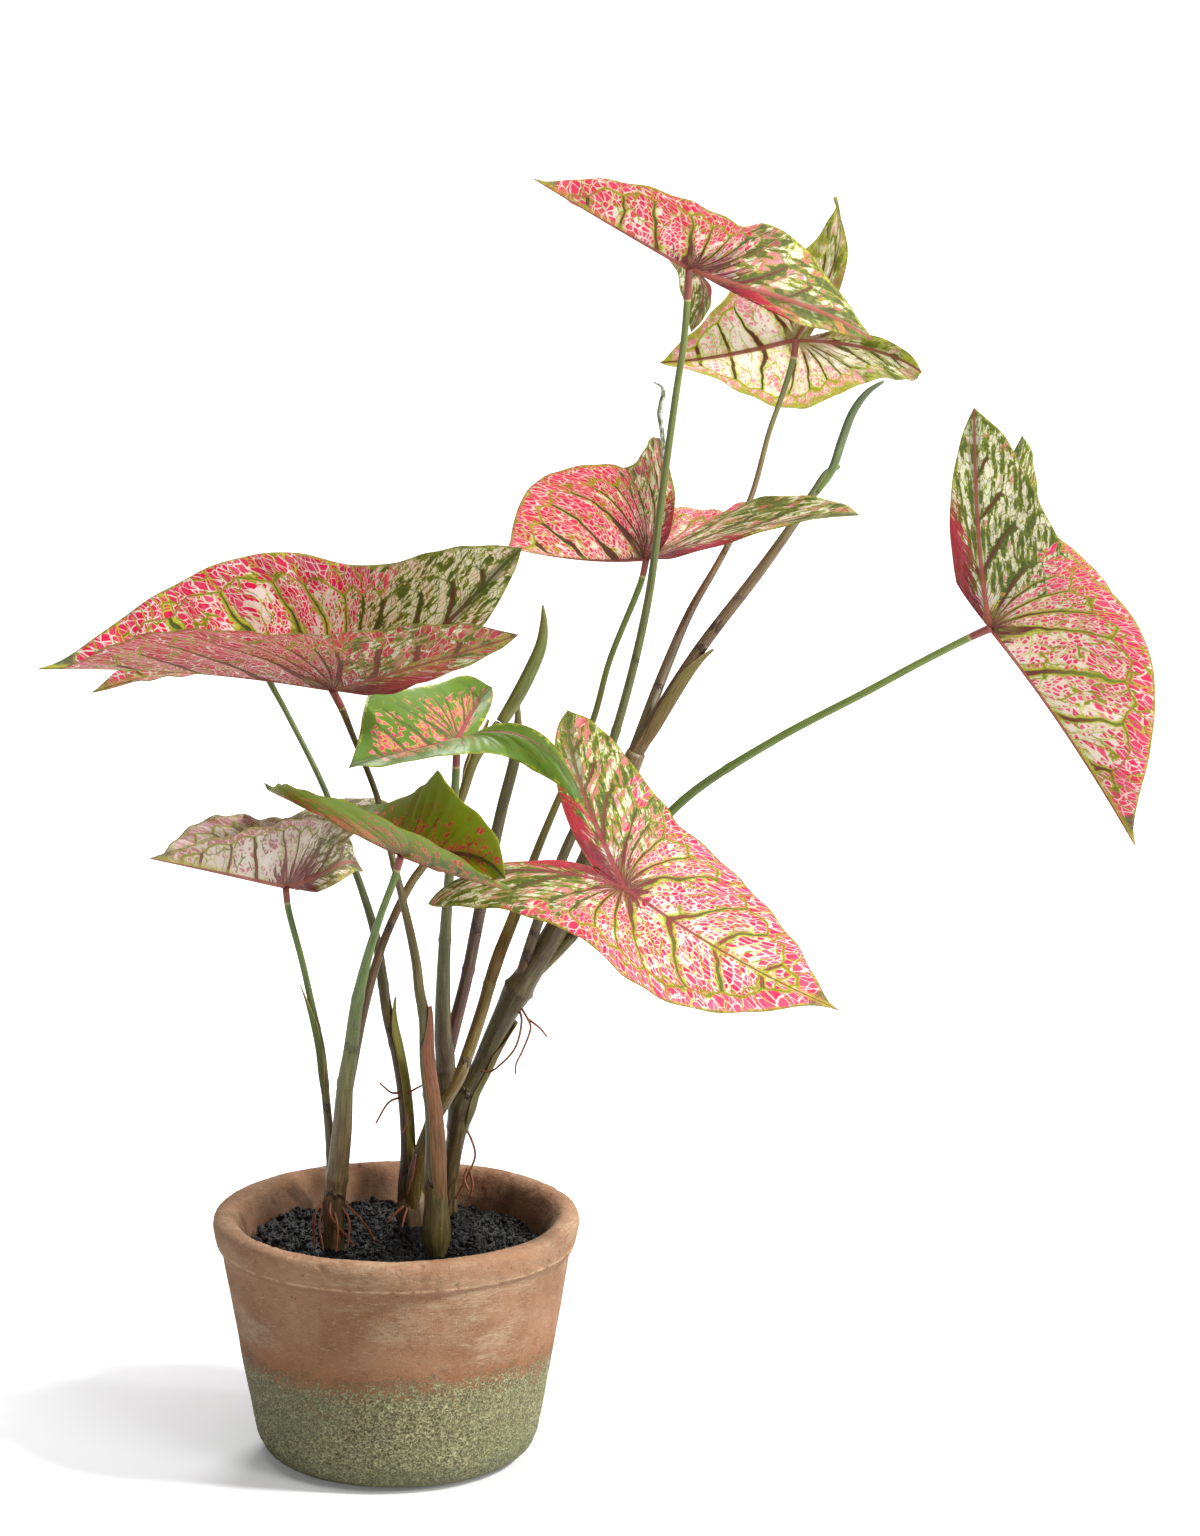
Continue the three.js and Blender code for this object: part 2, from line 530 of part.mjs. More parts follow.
const finishes = {
  terracotta: { color: 0xb07c5a, roughness: 0.9, metalness: 0 },
  soil: { color: 0x1d1c1d, roughness: 1, metalness: 0 },
  pinkBlade: { color: 0xd8506a, roughness: 0.45, metalness: 0 },
  greenBlade: { color: 0x5d8038, roughness: 0.45, metalness: 0 },
  greenStem: { color: 0x748850, roughness: 0.5, metalness: 0 },
  brownStem: { color: 0x6d5844, roughness: 0.55, metalness: 0 },
};

const group = new THREE.Group();

function addPiece(name, solid, finish) {
  const mesh = new THREE.Mesh(geometryOf(solid), new THREE.MeshStandardMaterial(finishes[finish]));
  mesh.name = name;
  group.add(mesh);
}

addPiece('pot', potSolid(), 'terracotta');
addPiece('soil', soilBody, 'soil');
for (const [name, leaf] of Object.entries(leaves)) {
  const finish = name.startsWith('green') ? 'greenBlade' : 'pinkBlade';
  addPiece(`leaf_${name}`, bladeSolid(leaf, blade.thickness), finish);
}

const rightFurled = stem(stems.rightFurled);
const rightRecess = stem(stems.rightSheath.map(([x, y, z, radius]) => [x, y, z, radius + seat]));
const mainCane = cane([
  stems.trunk,
  stems.topPetiole,
  stems.behindPetiole,
  stems.rightPetiole,
  stems.frontPetiole,
  stems.rightSheath,
], feet.main, mainRoots);
const centreCane = cane([
  stems.leftBehindPetiole,
  stems.greenHighPetiole,
  stems.darkShoot,
  stems.middlePetiole,
], feet.centre, centreRoots);
const leftCane = cane([
  stems.greenLowPetiole,
  stems.centreSheath,
  stems.lowLeftPetiole,
], feet.left, leftRoots);
const frontCane = cane([stems.leftPetiole], feet.front);

addPiece('cane_main', clearOf(mainCane, ['top', 'behind', 'right', 'front']), 'greenStem');
addPiece('cane_centre', clearOf(centreCane, ['left_behind', 'green_high', 'middle']), 'brownStem');
addPiece('cane_left', clearOf(leftCane, ['green_low', 'low_left']), 'brownStem');
addPiece('cane_front', clearOf(frontCane, ['left']), 'brownStem');
addPiece('furled_right', largest(rightFurled.subtract(rightRecess)), 'greenStem');
addPiece('furled_centre', stem(stems.centreFurled), 'greenStem');

export default group;
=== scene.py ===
import math
import random
from types import SimpleNamespace

import bmesh
import bpy
import numpy as np
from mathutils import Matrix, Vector, noise


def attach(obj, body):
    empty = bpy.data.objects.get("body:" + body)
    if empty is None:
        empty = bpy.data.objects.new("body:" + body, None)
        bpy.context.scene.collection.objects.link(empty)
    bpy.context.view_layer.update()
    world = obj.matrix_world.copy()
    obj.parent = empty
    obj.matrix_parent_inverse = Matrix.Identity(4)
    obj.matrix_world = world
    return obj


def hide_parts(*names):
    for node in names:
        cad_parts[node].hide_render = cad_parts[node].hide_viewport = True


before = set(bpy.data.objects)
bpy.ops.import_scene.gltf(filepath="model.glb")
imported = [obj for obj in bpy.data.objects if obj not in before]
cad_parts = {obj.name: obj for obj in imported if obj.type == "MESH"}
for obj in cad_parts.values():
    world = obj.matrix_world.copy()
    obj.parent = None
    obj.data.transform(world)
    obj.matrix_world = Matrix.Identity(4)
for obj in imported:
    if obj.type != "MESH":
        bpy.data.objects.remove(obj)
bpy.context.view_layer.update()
print("frame loaded")

mm = 0.001
scene = bpy.context.scene


class Flow:
    # wraps one output socket, so that maths on it adds nodes
    def __init__(self, sheet, socket):
        self.sheet = sheet
        self.socket = socket

    def __add__(self, other):
        return self.sheet.math("ADD", self, other)

    __radd__ = __add__

    def __sub__(self, other):
        return self.sheet.math("SUBTRACT", self, other)

    def __rsub__(self, other):
        return self.sheet.math("SUBTRACT", other, self)

    def __mul__(self, other):
        return self.sheet.math("MULTIPLY", self, other)

    __rmul__ = __mul__

    def __truediv__(self, other):
        return self.sheet.math("DIVIDE", self, other)

    def step(self, low, high):
        # smooth rise from 0 at low to 1 at high
        sockets = {"Value": self, "From Min": low, "From Max": high}
        return self.sheet.node("MapRange", {"interpolation_type": "SMOOTHSTEP"}, sockets)

    def fall(self, low, high):
        return 1 - self.step(low, high)

    def away(self, middle):
        return self.sheet.math("ABSOLUTE", self - middle)

    def most(self, other):
        return self.sheet.math("MAXIMUM", self, other)

    def clear(self):
        # kept between 0 and 1
        return self.sheet.node("Clamp", {}, {"Value": self})


class Sheet:
    # one material and its nodes
    def __init__(self, name):
        self.material = bpy.data.materials.new(name)
        self.material.use_nodes = True
        self.tree = self.material.node_tree
        self.tree.nodes.clear()

    def node(self, kind, settings=None, sockets=None, out=0):
        made = self.tree.nodes.new("ShaderNode" + kind)
        for key, value in (settings or {}).items():
            if key == "stops":
                self.setStops(made.color_ramp, value)
            else:
                setattr(made, key, value)
        for key, value in (sockets or {}).items():
            if isinstance(value, Flow):
                self.tree.links.new(value.socket, made.inputs[key])
            else:
                made.inputs[key].default_value = value
        return Flow(self, made.outputs[out])

    def setStops(self, ramp, stops):
        while len(ramp.elements) < len(stops):
            ramp.elements.new(1.0)
        for element, (place, colour) in zip(ramp.elements, stops):
            element.position = place
            element.color = colour

    def math(self, operation, first, second=0.0):
        return self.node("Math", {"operation": operation}, {0: first, 1: second})

    def blend(self, amount, first, second):
        # colours: first where amount is 0, second where it is 1
        settings = {"data_type": "RGBA", "clamp_factor": True}
        return self.node("Mix", settings, {0: amount, 6: first, 7: second}, 2)

    def attribute(self, name):
        vector = self.node("Attribute", {"attribute_name": name}, {}, 1)
        return [self.node("SeparateXYZ", {}, {0: vector}, k) for k in range(3)]

    def vector(self, x, y, z=0.0):
        return self.node("CombineXYZ", {}, {0: x, 1: y, 2: z})

    def noise(self, vector, scale=1.0, detail=3.0, roughness=0.55):
        sockets = {"Vector": vector, "Scale": scale, "Detail": detail, "Roughness": roughness}
        return self.node("TexNoise", {"noise_dimensions": "3D"}, sockets)

    def cells(self, vector, randomness=1.0):
        # distance to the nearest wall between cells
        settings = {"voronoi_dimensions": "2D", "feature": "DISTANCE_TO_EDGE"}
        sockets = {"Vector": vector, "Scale": 1.0, "Randomness": randomness}
        return self.node("TexVoronoi", settings, sockets)

    def cellChance(self, vector, randomness=1.0):
        # three random numbers for each cell
        settings = {"voronoi_dimensions": "2D", "feature": "F1"}
        sockets = {"Vector": vector, "Scale": 1.0, "Randomness": randomness}
        colour = self.node("TexVoronoi", settings, sockets, 1)
        return [self.node("SeparateColor", {}, {0: colour}, k) for k in range(3)]

    def bump(self, height, strength, distance):
        return self.node("Bump", {}, {"Height": height, "Strength": strength, "Distance": distance})

    def skin(self, colour, roughness, normal, specular=0.5):
        sockets = {"Base Color": colour, "Roughness": roughness, "Normal": normal}
        sockets["Specular IOR Level"] = specular
        return self.node("BsdfPrincipled", {}, sockets)

    def finish(self, shader):
        output = self.tree.nodes.new("ShaderNodeOutputMaterial")
        self.tree.links.new(shader.socket, output.inputs["Surface"])
        return self.material


def tone(red, green, blue):
    # screen values 0 to 255, as Blender's linear colour
    def linear(value):
        value /= 255
        return value / 12.92 if value <= 0.04045 else ((value + 0.055) / 1.055) ** 2.4
    return (linear(red), linear(green), linear(blue), 1.0)


def buildPiece(name, points, faces, materials, nodes, attributes=None, faceSlots=None):
    mesh = bpy.data.meshes.new(name)
    mesh.from_pydata([tuple(point) for point in points], [], faces)
    for key, values in (attributes or {}).items():
        layer = mesh.attributes.new(key, "FLOAT_VECTOR", "POINT")
        layer.data.foreach_set("vector", np.asarray(values, dtype=np.float32).ravel())
    for material in materials:
        mesh.materials.append(material)
    if faceSlots is not None:
        mesh.polygons.foreach_set("material_index", faceSlots)
    mesh.polygons.foreach_set("use_smooth", [True] * len(mesh.polygons))
    mesh.validate()
    mesh.update()
    piece = bpy.data.objects.new(name, mesh)
    scene.collection.objects.link(piece)
    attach(piece, "root")
    if nodes:
        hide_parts(*nodes)


def gridFaces(rows, columns, start=0, closed=True):
    faces = []
    for row in range(rows - 1):
        for k in range(columns if closed else columns - 1):
            a = start + row * columns + k
            b = start + row * columns + (k + 1) % columns
            faces.append((a, b, b + columns, a + columns))
    return faces


def smoothStep(value, low, high):
    f = np.clip((value - low) / (high - low), 0, 1)
    return f * f * (3 - 2 * f)


bladeShape = {
    # half outline from the tip, round the basal lobe, to the notch; unit = joint to tip
    "outline": [
        (1, 0), (0.93, 0.03), (0.83, 0.1), (0.67, 0.235), (0.46, 0.36), (0.24, 0.41), (0.02, 0.4),
        (-0.2, 0.42), (-0.44, 0.51), (-0.64, 0.575), (-0.77, 0.585), (-0.67, 0.47), (-0.47, 0.27),
        (-0.26, 0.1), (-0.1, 0),
    ],
    "lobeTip": 10,              # place of the pointed end of the basal lobe
    "lobeFrom": 75,             # degrees from the tip: where the lobe starts, and where it is full
    "lobeFull": 140,
    "waveTurn": 1.35,           # radians of the margin's waves from one outline point to the next
    "waveLag": 1.7,             # radians between the waves of the two halves
    "stations": 112,            # along each half outline
    "rings": 30,                # from the joint to the margin
    "crowding": 0.85,           # 1 spaces the rings evenly, less draws them to the margin
    "thickness": 0.6,           # mm
    "thinEdge": 0.45,           # share of it that is left at the margin
    "ribHeight": 0.75,          # how far the main ribs stand out beneath, mm
    "quilt": 0.9 / 130,         # how far the blade swells between its side veins, unit
    "veinSpacing": 0.22,        # along the ribs, unit
    "band": 0.085,              # from the margin to the vein that joins the side veins, unit
}

# where each blade is and how it is turned and folded: pairs are left half, right half
leaves = {
    "top": {
        "joint": (158, 0, 654), "length": 102, "heading": 207, "pitch": 29, "roll": -7, "fold": (58, 8),
        "foldRun": (0, 4), "curl": (-42, -26), "bend": -2, "droop": (-6, 38), "sway": -0.06, "twist": 3,
        "spread": (1.2, 0.93), "reach": (1.28, 1), "breadth": 1.01, "wave": 0.025, "phase": -75,
        "lobeCurl": (46, -10),
    },
    "behind": {
        "joint": (220, 160, 593), "length": 105, "heading": 147, "pitch": -17, "roll": 85, "fold": (24, 30),
        "foldRun": (18, 2), "curl": (-30, 10), "bend": -20, "droop": (46, 36), "sway": 0.05, "twist": -1,
        "spread": (0.96, 1.14), "reach": (1.05, 0.93), "breadth": 1.04, "wave": 0.03, "phase": 165,
        "lobeCurl": (-4, -14),
    },
    "middle": {
        "joint": (136, 90, 482), "length": 136, "heading": 120, "pitch": -12, "roll": 5, "fold": (79, 26),
        "foldRun": (-44, 14), "curl": (-44, -4), "bend": -12, "droop": (-22, 32), "sway": 0.1, "twist": -8,
        "spread": (1.02, 1.06), "reach": (0.81, 1), "breadth": 1.09, "wave": 0.025, "phase": 180,
        "lobeCurl": (-36, 24),
    },
    "right": {
        "joint": (320, 10, 459), "length": 156, "heading": 35, "pitch": -47, "roll": 13, "fold": (93, 59),
        "foldRun": (-6, -2), "curl": (-14, 8), "bend": 13, "droop": (-10, -22), "sway": -0.13, "twist": -9,
        "spread": (1, 1.1), "reach": (0.81, 1.11), "breadth": 1.02, "wave": 0.02, "phase": 20,
        "lobeCurl": (10, -12),
    },
    "left": {
        "joint": (-30, -40, 436), "length": 168, "heading": 154, "pitch": 4, "roll": -3, "fold": (37, 77),
        "foldRun": (-14, -22), "curl": (20, -2), "bend": 7, "droop": (0, -38), "sway": 0.14, "twist": -2,
        "spread": (0.98, 1.08), "reach": (1.19, 1.18), "breadth": 0.98, "wave": 0.01, "phase": -190,
        "lobeCurl": (-12, 18),
    },
    "left_behind": {
        "joint": (-75, 100, 421), "length": 96, "heading": 186, "pitch": 0, "roll": -2, "fold": (13, 26),
        "foldRun": (-6, 10), "curl": (14, -14), "bend": 17, "droop": (-2, 6), "sway": 0, "twist": -4,
        "spread": (0.87, 0.89), "reach": (0.89, 0.92), "breadth": 1.01, "wave": 0.015, "phase": -110,
        "lobeCurl": (-6, -10),
    },
    "low_left": {
        "joint": (-57, -20, 324), "length": 94, "heading": 222, "pitch": 19, "roll": 1, "fold": (78, 70),
        "foldRun": (-26, -40), "curl": (-60, -70), "bend": 1, "droop": (-10, 40), "sway": -0.03, "twist": 2,
        "spread": (1.11, 0.9), "reach": (0.98, 1), "breadth": 1.15, "wave": 0.025, "phase": -10,
        "lobeCurl": (42, 4),
    },
    "front": {
        "joint": (124, -75, 337), "length": 129, "heading": -13, "pitch": -34, "roll": 59, "fold": (-23, 45),
        "foldRun": (-4, -20), "curl": (-28, -20), "bend": -5, "droop": (66, 80), "sway": 0.1, "twist": -7,
        "spread": (1.05, 1.08), "reach": (1.16, 0.9), "breadth": 1.12, "wave": 0.02, "phase": -65,
        "lobeCurl": (8, -38),
    },
    "green_high": {
        "joint": (35, -20, 404), "length": 90, "heading": 229, "pitch": 2, "roll": 15, "fold": (15, 53),
        "foldRun": (-8, 10), "curl": (-114, -2), "bend": 4, "droop": (10, 12), "sway": 0.06, "twist": -5,
        "spread": (0.69, 1.05), "reach": (1.03, 0.97), "breadth": 1.16, "wave": 0.035, "phase": 120,
        "lobeCurl": (58, 2),
    },
    "green_low": {
        "joint": (7, -80, 356), "length": 115, "heading": 133, "pitch": 8, "roll": -5, "fold": (48, 66),
        "foldRun": (-28, -104), "curl": (24, -54), "bend": -4, "droop": (-18, 6), "sway": -0.01, "twist": 4,
        "spread": (1.21, 1.12), "reach": (1, 0.98), "breadth": 1.03, "wave": 0.035, "phase": -135,
        "lobeCurl": (-22, -18),
    },
}

# a usual pink blade
usualLook = {
    "pale": 0.4,                # how cream the ground is, 0 to 1
    "lobeGreen": 1.0,           # how green the basal lobes are
    "lobePink": 0.06,           # how many of their streaks are pink
    "bright": 0.0,              # how many more streaks they have
    "lobeRim": 0.3,             # how pink their margin is
    "margin": 1.6,              # green edge, mm
    "heart": 0.95,              # dark fingers round the joint
    "red": 0.95,                # crimson at the notch
    "ribs": 0.95,               # how dark the main ribs are
    "net": 0.85,                # how dark the branches of the side veins are
    "veins": 1.0,               # width of the side veins
    "veinEnd": "oliveDark",     # their tone away from the main ribs
    "halo": 1.0,                # width of the lime beside them
    "ripple": 0.7,              # waves of the margin, mm
    "grain": 1.0,               # how fine the cells are
    "walls": -0.005,            # how wide the lines between them are
    "glow": 0.46,               # share of light let through
    "vivid": 1.0,               # how pink that light is
    "dullnessAndShade": 0.0,                # dullness, and painted shade
    "dust": 0.0,                # greyness
    "pink": (238, 50, 108),
    "pinkLight": (250, 150, 178),
    "beneath": {},              # what differs on the underside
}

# what differs on each blade. On a green one, centre is how far the flecks reach from the ribs, bareLobe how
# much less on its left lobe, and clearEdge how far they stay from its margin, all in mm
leafLooks = {
    "top": {
        "pale": 0.22, "glow": 0.52, "lobePink": 0.6, "lobeRim": 0.0, "pink": (230, 56, 92), "halo": 0.7,
        "veins": 0.55, "veinEnd": "olive", "walls": -0.012, "beneath": {"lobeGreen": 0.8, "dust": 0.1},
    },
    "behind": {
        "pale": 0.8, "glow": 0.6, "margin": 6.0, "pink": (240, 140, 164), "pinkLight": (250, 200, 206),
        "heart": 0.5, "red": 0.4, "halo": 0.6, "veins": 0.8, "vivid": 0.5, "beneath": {"lobeGreen": 0.4},
    },
    "middle": {
        "pale": 0.2, "glow": 0.55, "lobePink": 0.4, "pink": (226, 46, 78), "halo": 0.9,
        "beneath": {"lobeGreen": 0.5, "veins": 1.6},
    },
    "right": {"pale": 0.36, "pink": (240, 52, 112), "halo": 1.3, "veinEnd": "olive"},
    "left": {
        "pale": 0.7, "lobePink": 0.0, "pink": (236, 28, 80), "pinkLight": (244, 120, 156), "halo": 2.0,
        "glow": 0.22, "veins": 1.5, "bright": 0.035,
        # its underside is painted darker, with darker pinks and more dullness, as painted shade
        "beneath": {
            "pale": 0.06, "lobeGreen": 0.5, "lobePink": 0.5, "bright": 0.0, "pink": (196, 40, 56),
            "pinkLight": (212, 112, 104), "halo": 0.9, "dullnessAndShade": 0.22, "veins": 2.4, "glow": 0.36,
            "walls": -0.03, "veinEnd": "veinUnder",
        },
    },
    "left_behind": {"pale": 0.35, "lobeGreen": 0.6, "pink": (222, 78, 108), "dust": 0.2},
    "low_left": {
        "pale": 0.8, "margin": 3.0, "pink": (214, 134, 138), "pinkLight": (226, 186, 182), "dust": 0.35,
        "net": 1.0, "veins": 0.7, "halo": 0.3, "ripple": 1.2, "glow": 0.2, "vivid": 0.5, "red": 0.15,
    },
    "front": {
        "pale": 0.22, "lobePink": 0.55, "lobeGreen": 0.9, "pink": (236, 50, 104), "glow": 0.54,
        # a little dullness and painted shade
        "dullnessAndShade": 0.06,
    },
    "green_high": {
        "pink": (222, 60, 104), "pinkLight": (240, 136, 150), "centre": 27, "bareLobe": 90, "clearEdge": 5,
        "heart": 0.0, "red": 0.0, "glow": 0.36, "grain": 1.2, "ripple": 0.2,
    },
    "green_low": {
        "pink": (222, 78, 84), "pinkLight": (236, 130, 110), "centre": 22, "bareLobe": 0, "clearEdge": 0,
        "heart": 0.0, "red": 0.0, "glow": 0.4, "grain": 1.3, "ripple": 0.5, "beneath": {"centre": 32},
    },
}

bladeTones = {
    "cream": tone(252, 246, 234),
    "lobeCream": tone(252, 248, 222),
    "lime": tone(206, 212, 66),
    "olive": tone(112, 130, 40),
    "oliveDark": tone(80, 92, 32),
    "lobeGreen": tone(72, 92, 32),
    "leafGreen": tone(94, 130, 50),
    "leafDark": tone(68, 100, 42),
    "fleckEdge": tone(196, 196, 84),
    "ribUnder": tone(158, 80, 62),
    "veinUnder": tone(112, 48, 38),
    "ribOver": tone(134, 48, 50),
    "heartRed": tone(104, 22, 38),
    "heartGreen": tone(72, 70, 32),
    "sinusRed": tone(190, 28, 60),
    "edge": tone(150, 116, 74),
    "tip": tone(96, 124, 84),
    # dull dark tone for underside dullness and painted shade
    "under": tone(140, 84, 62),
    "dust": tone(176, 132, 126),
    "glowPink": (0.96, 0.09, 0.3, 1.0),
    "glowCream": (1.0, 0.96, 0.87, 1.0),
    "glowGreen": (0.68, 0.75, 0.08, 1.0),
}


def outlineAt(place):
    points = bladeShape["outline"]
    last = len(points) - 1
    i = min(int(place), last - 1)
    before, start, end = points[max(i - 1, 0)], points[i], points[i + 1]
    after = points[min(i + 2, last)]
    f = place - i
    g = f * f * (3 - 2 * f)
    found = []
    for k in range(2):
        chord = end[k] - start[k]
        slopeStart = chord if i in (0, bladeShape["lobeTip"]) else (end[k] - before[k]) / 2
        slopeEnd = chord if i + 1 in (last, bladeShape["lobeTip"]) else (after[k] - start[k]) / 2
        bend = slopeStart * f * (1 - f) ** 2 - slopeEnd * f * f * (1 - f)
        found.append(start[k] * (1 - g) + end[k] * g + bend)
    return found


def arc(length, curvature, angle):
    # how far along and off a circular bend a length reaches, having set out at an angle
    half = curvature * length / 2
    chord = length * np.sinc(half / math.pi)
    return chord * np.cos(angle + half), chord * np.sin(angle + half)


def bladeHalf(leaf, side, places, depths):
    # one half's points in the blade's own frame, for all places along the outline and depths from the joint
    notch = len(bladeShape["outline"]) - 1
    outline = np.array([outlineAt(place) for place in places])
    place = np.array(places)[None, :]
    depth = np.array(depths)[:, None]
    angle = np.degrees(np.arctan2(outline[:, 1], outline[:, 0]))[None, :]
    lobe = smoothStep(angle, bladeShape["lobeFrom"], bladeShape["lobeFull"])
    radius = np.hypot(outline[:, 0], outline[:, 1])[None, :] * depth * (1 + (leaf["reach"][side] - 1) * lobe)
    turned = angle * (1 + (leaf["spread"][side] - 1) * np.minimum(angle / bladeShape["lobeFull"], 1))
    turned = np.radians(np.where(place >= notch, 180.0, turned))
    along = radius * np.cos(turned)
    off = np.abs(radius * np.sin(turned)) * leaf["breadth"]

    # folded up from the midrib, curled, and waved towards the margin
    back = np.maximum(-along, 0)
    fold = np.radians(leaf["fold"][side] + leaf["foldRun"][side] * along + 2 * leaf["lobeCurl"][side] * back)
    curl = math.radians(leaf["curl"][side])
    y, z = arc(off, curl, fold)
    fade = np.minimum(place / 2, 1) * np.minimum((notch - place) / 3, 1)
    start = math.radians(leaf["phase"]) + side * bladeShape["waveLag"]
    wave = leaf["wave"] * np.sin(place * bladeShape["waveTurn"] + start) * depth ** 2 * fade
    y = y - wave * np.sin(fold + curl * off)
    z = z + wave * np.cos(fold + curl * off)

    # bent down along its length, twisted and swayed
    droop = np.where(place >= notch, sum(leaf["droop"]) / 2, leaf["droop"][side])
    bend = np.radians(np.where(along > 0, leaf["bend"], droop))
    run, fall = arc(along, bend, 0.0)
    x = run + z * np.sin(bend * along)
    z = z * np.cos(bend * along) - fall
    twist = math.radians(leaf["twist"]) * along
    sign = 1 if side == 0 else -1
    spun = sign * y * np.cos(twist) - z * np.sin(twist)
    z = sign * y * np.sin(twist) + z * np.cos(twist)
    y = spun + leaf["sway"] * along * np.abs(along)
    return np.stack([x, y, z], axis=-1)


def bladeFrame(leaf):
    # the blade's own ahead, across and up
    heading, pitch, roll = (math.radians(leaf[key]) for key in ("heading", "pitch", "roll"))
    flat = math.cos(pitch)
    ahead = Vector((math.cos(heading) * flat, math.sin(heading) * flat, math.sin(pitch)))
    level = Vector((-math.sin(heading), math.cos(heading), 0))
    rise = ahead.cross(level)
    across = level * math.cos(roll) + rise * math.sin(roll)
    up = rise * math.cos(roll) - level * math.sin(roll)
    return np.array([ahead, across, up])


def veinField(leaf, places, depths):
    # flat distances that place the veins: mm from a main rib and from the margin, side veins by number
    unit = leaf["length"]
    outline = np.array([outlineAt(place) for place in places])
    depth = np.array(depths)[:, None]
    u = outline[:, 0][None, :] * depth
    v = np.abs(outline[:, 1])[None, :] * depth
    fromJoint = np.hypot(u, v)

    # along and off the rib that runs to the tip of the basal lobe
    lobeTip = np.array(bladeShape["outline"][bladeShape["lobeTip"]])
    lobeWay = lobeTip / np.hypot(*lobeTip)
    along = u * lobeWay[0] + v * lobeWay[1]
    off = u * lobeWay[1] - v * lobeWay[0]
    toMidrib = np.where(u > 0, v, fromJoint)
    toLobeRib = np.where(along > 0, np.abs(off), fromJoint)
    rib = np.minimum(toMidrib, toLobeRib) * unit

    # side veins bow forward from the midrib and back from the lobe's rib, with a fan between the two sets
    spacing = bladeShape["veinSpacing"]
    ahead = u - (0.6 * v + v * v)
    behind = along - 0.55 * (1 - np.exp(-np.abs(off) / 0.2))
    total = np.maximum(np.abs(ahead) + np.abs(behind), 1e-4)
    fan = 2 * (np.abs(behind) - np.abs(ahead)) / total
    weft = np.where(ahead > 0, ahead / spacing + 2, np.where(behind > 0, -behind / spacing - 2, fan))
    weft = np.where(off < 0, -behind / spacing - 2, weft)

    ray = np.hypot(outline[:, 0], outline[:, 1])
    tangent = np.gradient(outline, axis=0)
    tangent /= np.maximum(np.hypot(tangent[:, 0], tangent[:, 1]), 1e-6)[:, None]
    slant = np.abs(outline[:, 0] * tangent[:, 1] - outline[:, 1] * tangent[:, 0]) / np.maximum(ray, 1e-6)
    edge = (1 - depth) * (ray * np.maximum(slant, 0.15))[None, :] * unit

    angle = np.degrees(np.arctan2(outline[:, 1], outline[:, 0]))[None, :]
    lobe = smoothStep(angle + 0 * depth, 74, 130) * smoothStep(fromJoint, 0.03, 0.2)
    sinus = np.clip(-off / 0.07, 0, 1) * smoothStep(-fromJoint, -0.72, -0.3)
    tip = smoothStep(u, 0.82, 0.95)
    return {"rib": rib, "weft": weft, "edge": edge, "lobe": lobe, "sinus": sinus, "tip": tip,
            "x": u * unit, "y": v * unit}


def readBlade(sheet, look):
    # where a point lies on its blade, three noises, and how far it is from the side veins
    blade = SimpleNamespace()
    blade.x, blade.y, blade.lobe = sheet.attribute("bladePlace")
    blade.rib, weft, blade.edge = sheet.attribute("bladeVeins")
    blade.sinus, blade.tip, blade.turn = sheet.attribute("bladeZones")
    blade.away = sheet.math("SQRT", blade.x * blade.x + blade.y * blade.y)
    blade.length = blade.away / look["length"]

    place = sheet.vector(blade.x, blade.y, blade.turn)
    blade.broad = sheet.noise(place, 0.035, 2.0)
    blade.middling = sheet.noise(place, 0.11, 2.0)
    blade.fine = sheet.noise(place, 0.6, 3.0)
    blade.ragged = (blade.fine - 0.5) * 5

    weft = weft + (blade.broad - 0.5) * 0.6 + (blade.middling - 0.5) * 0.1
    blade.row = weft * look["spacing"]
    blade.opened = (blade.length * 3).clear()    # the veins close up at the joint
    blade.lateral = sheet.math("FRACT", weft + 0.5).away(0.5) * blade.opened * look["spacing"]
    blade.between = sheet.math("FRACT", weft).away(0.5) * blade.opened * look["spacing"]
    blade.streaks = sheet.noise(sheet.vector(blade.rib * 0.1, blade.row * 0.5, blade.turn), 1.0, 3.0)
    return blade


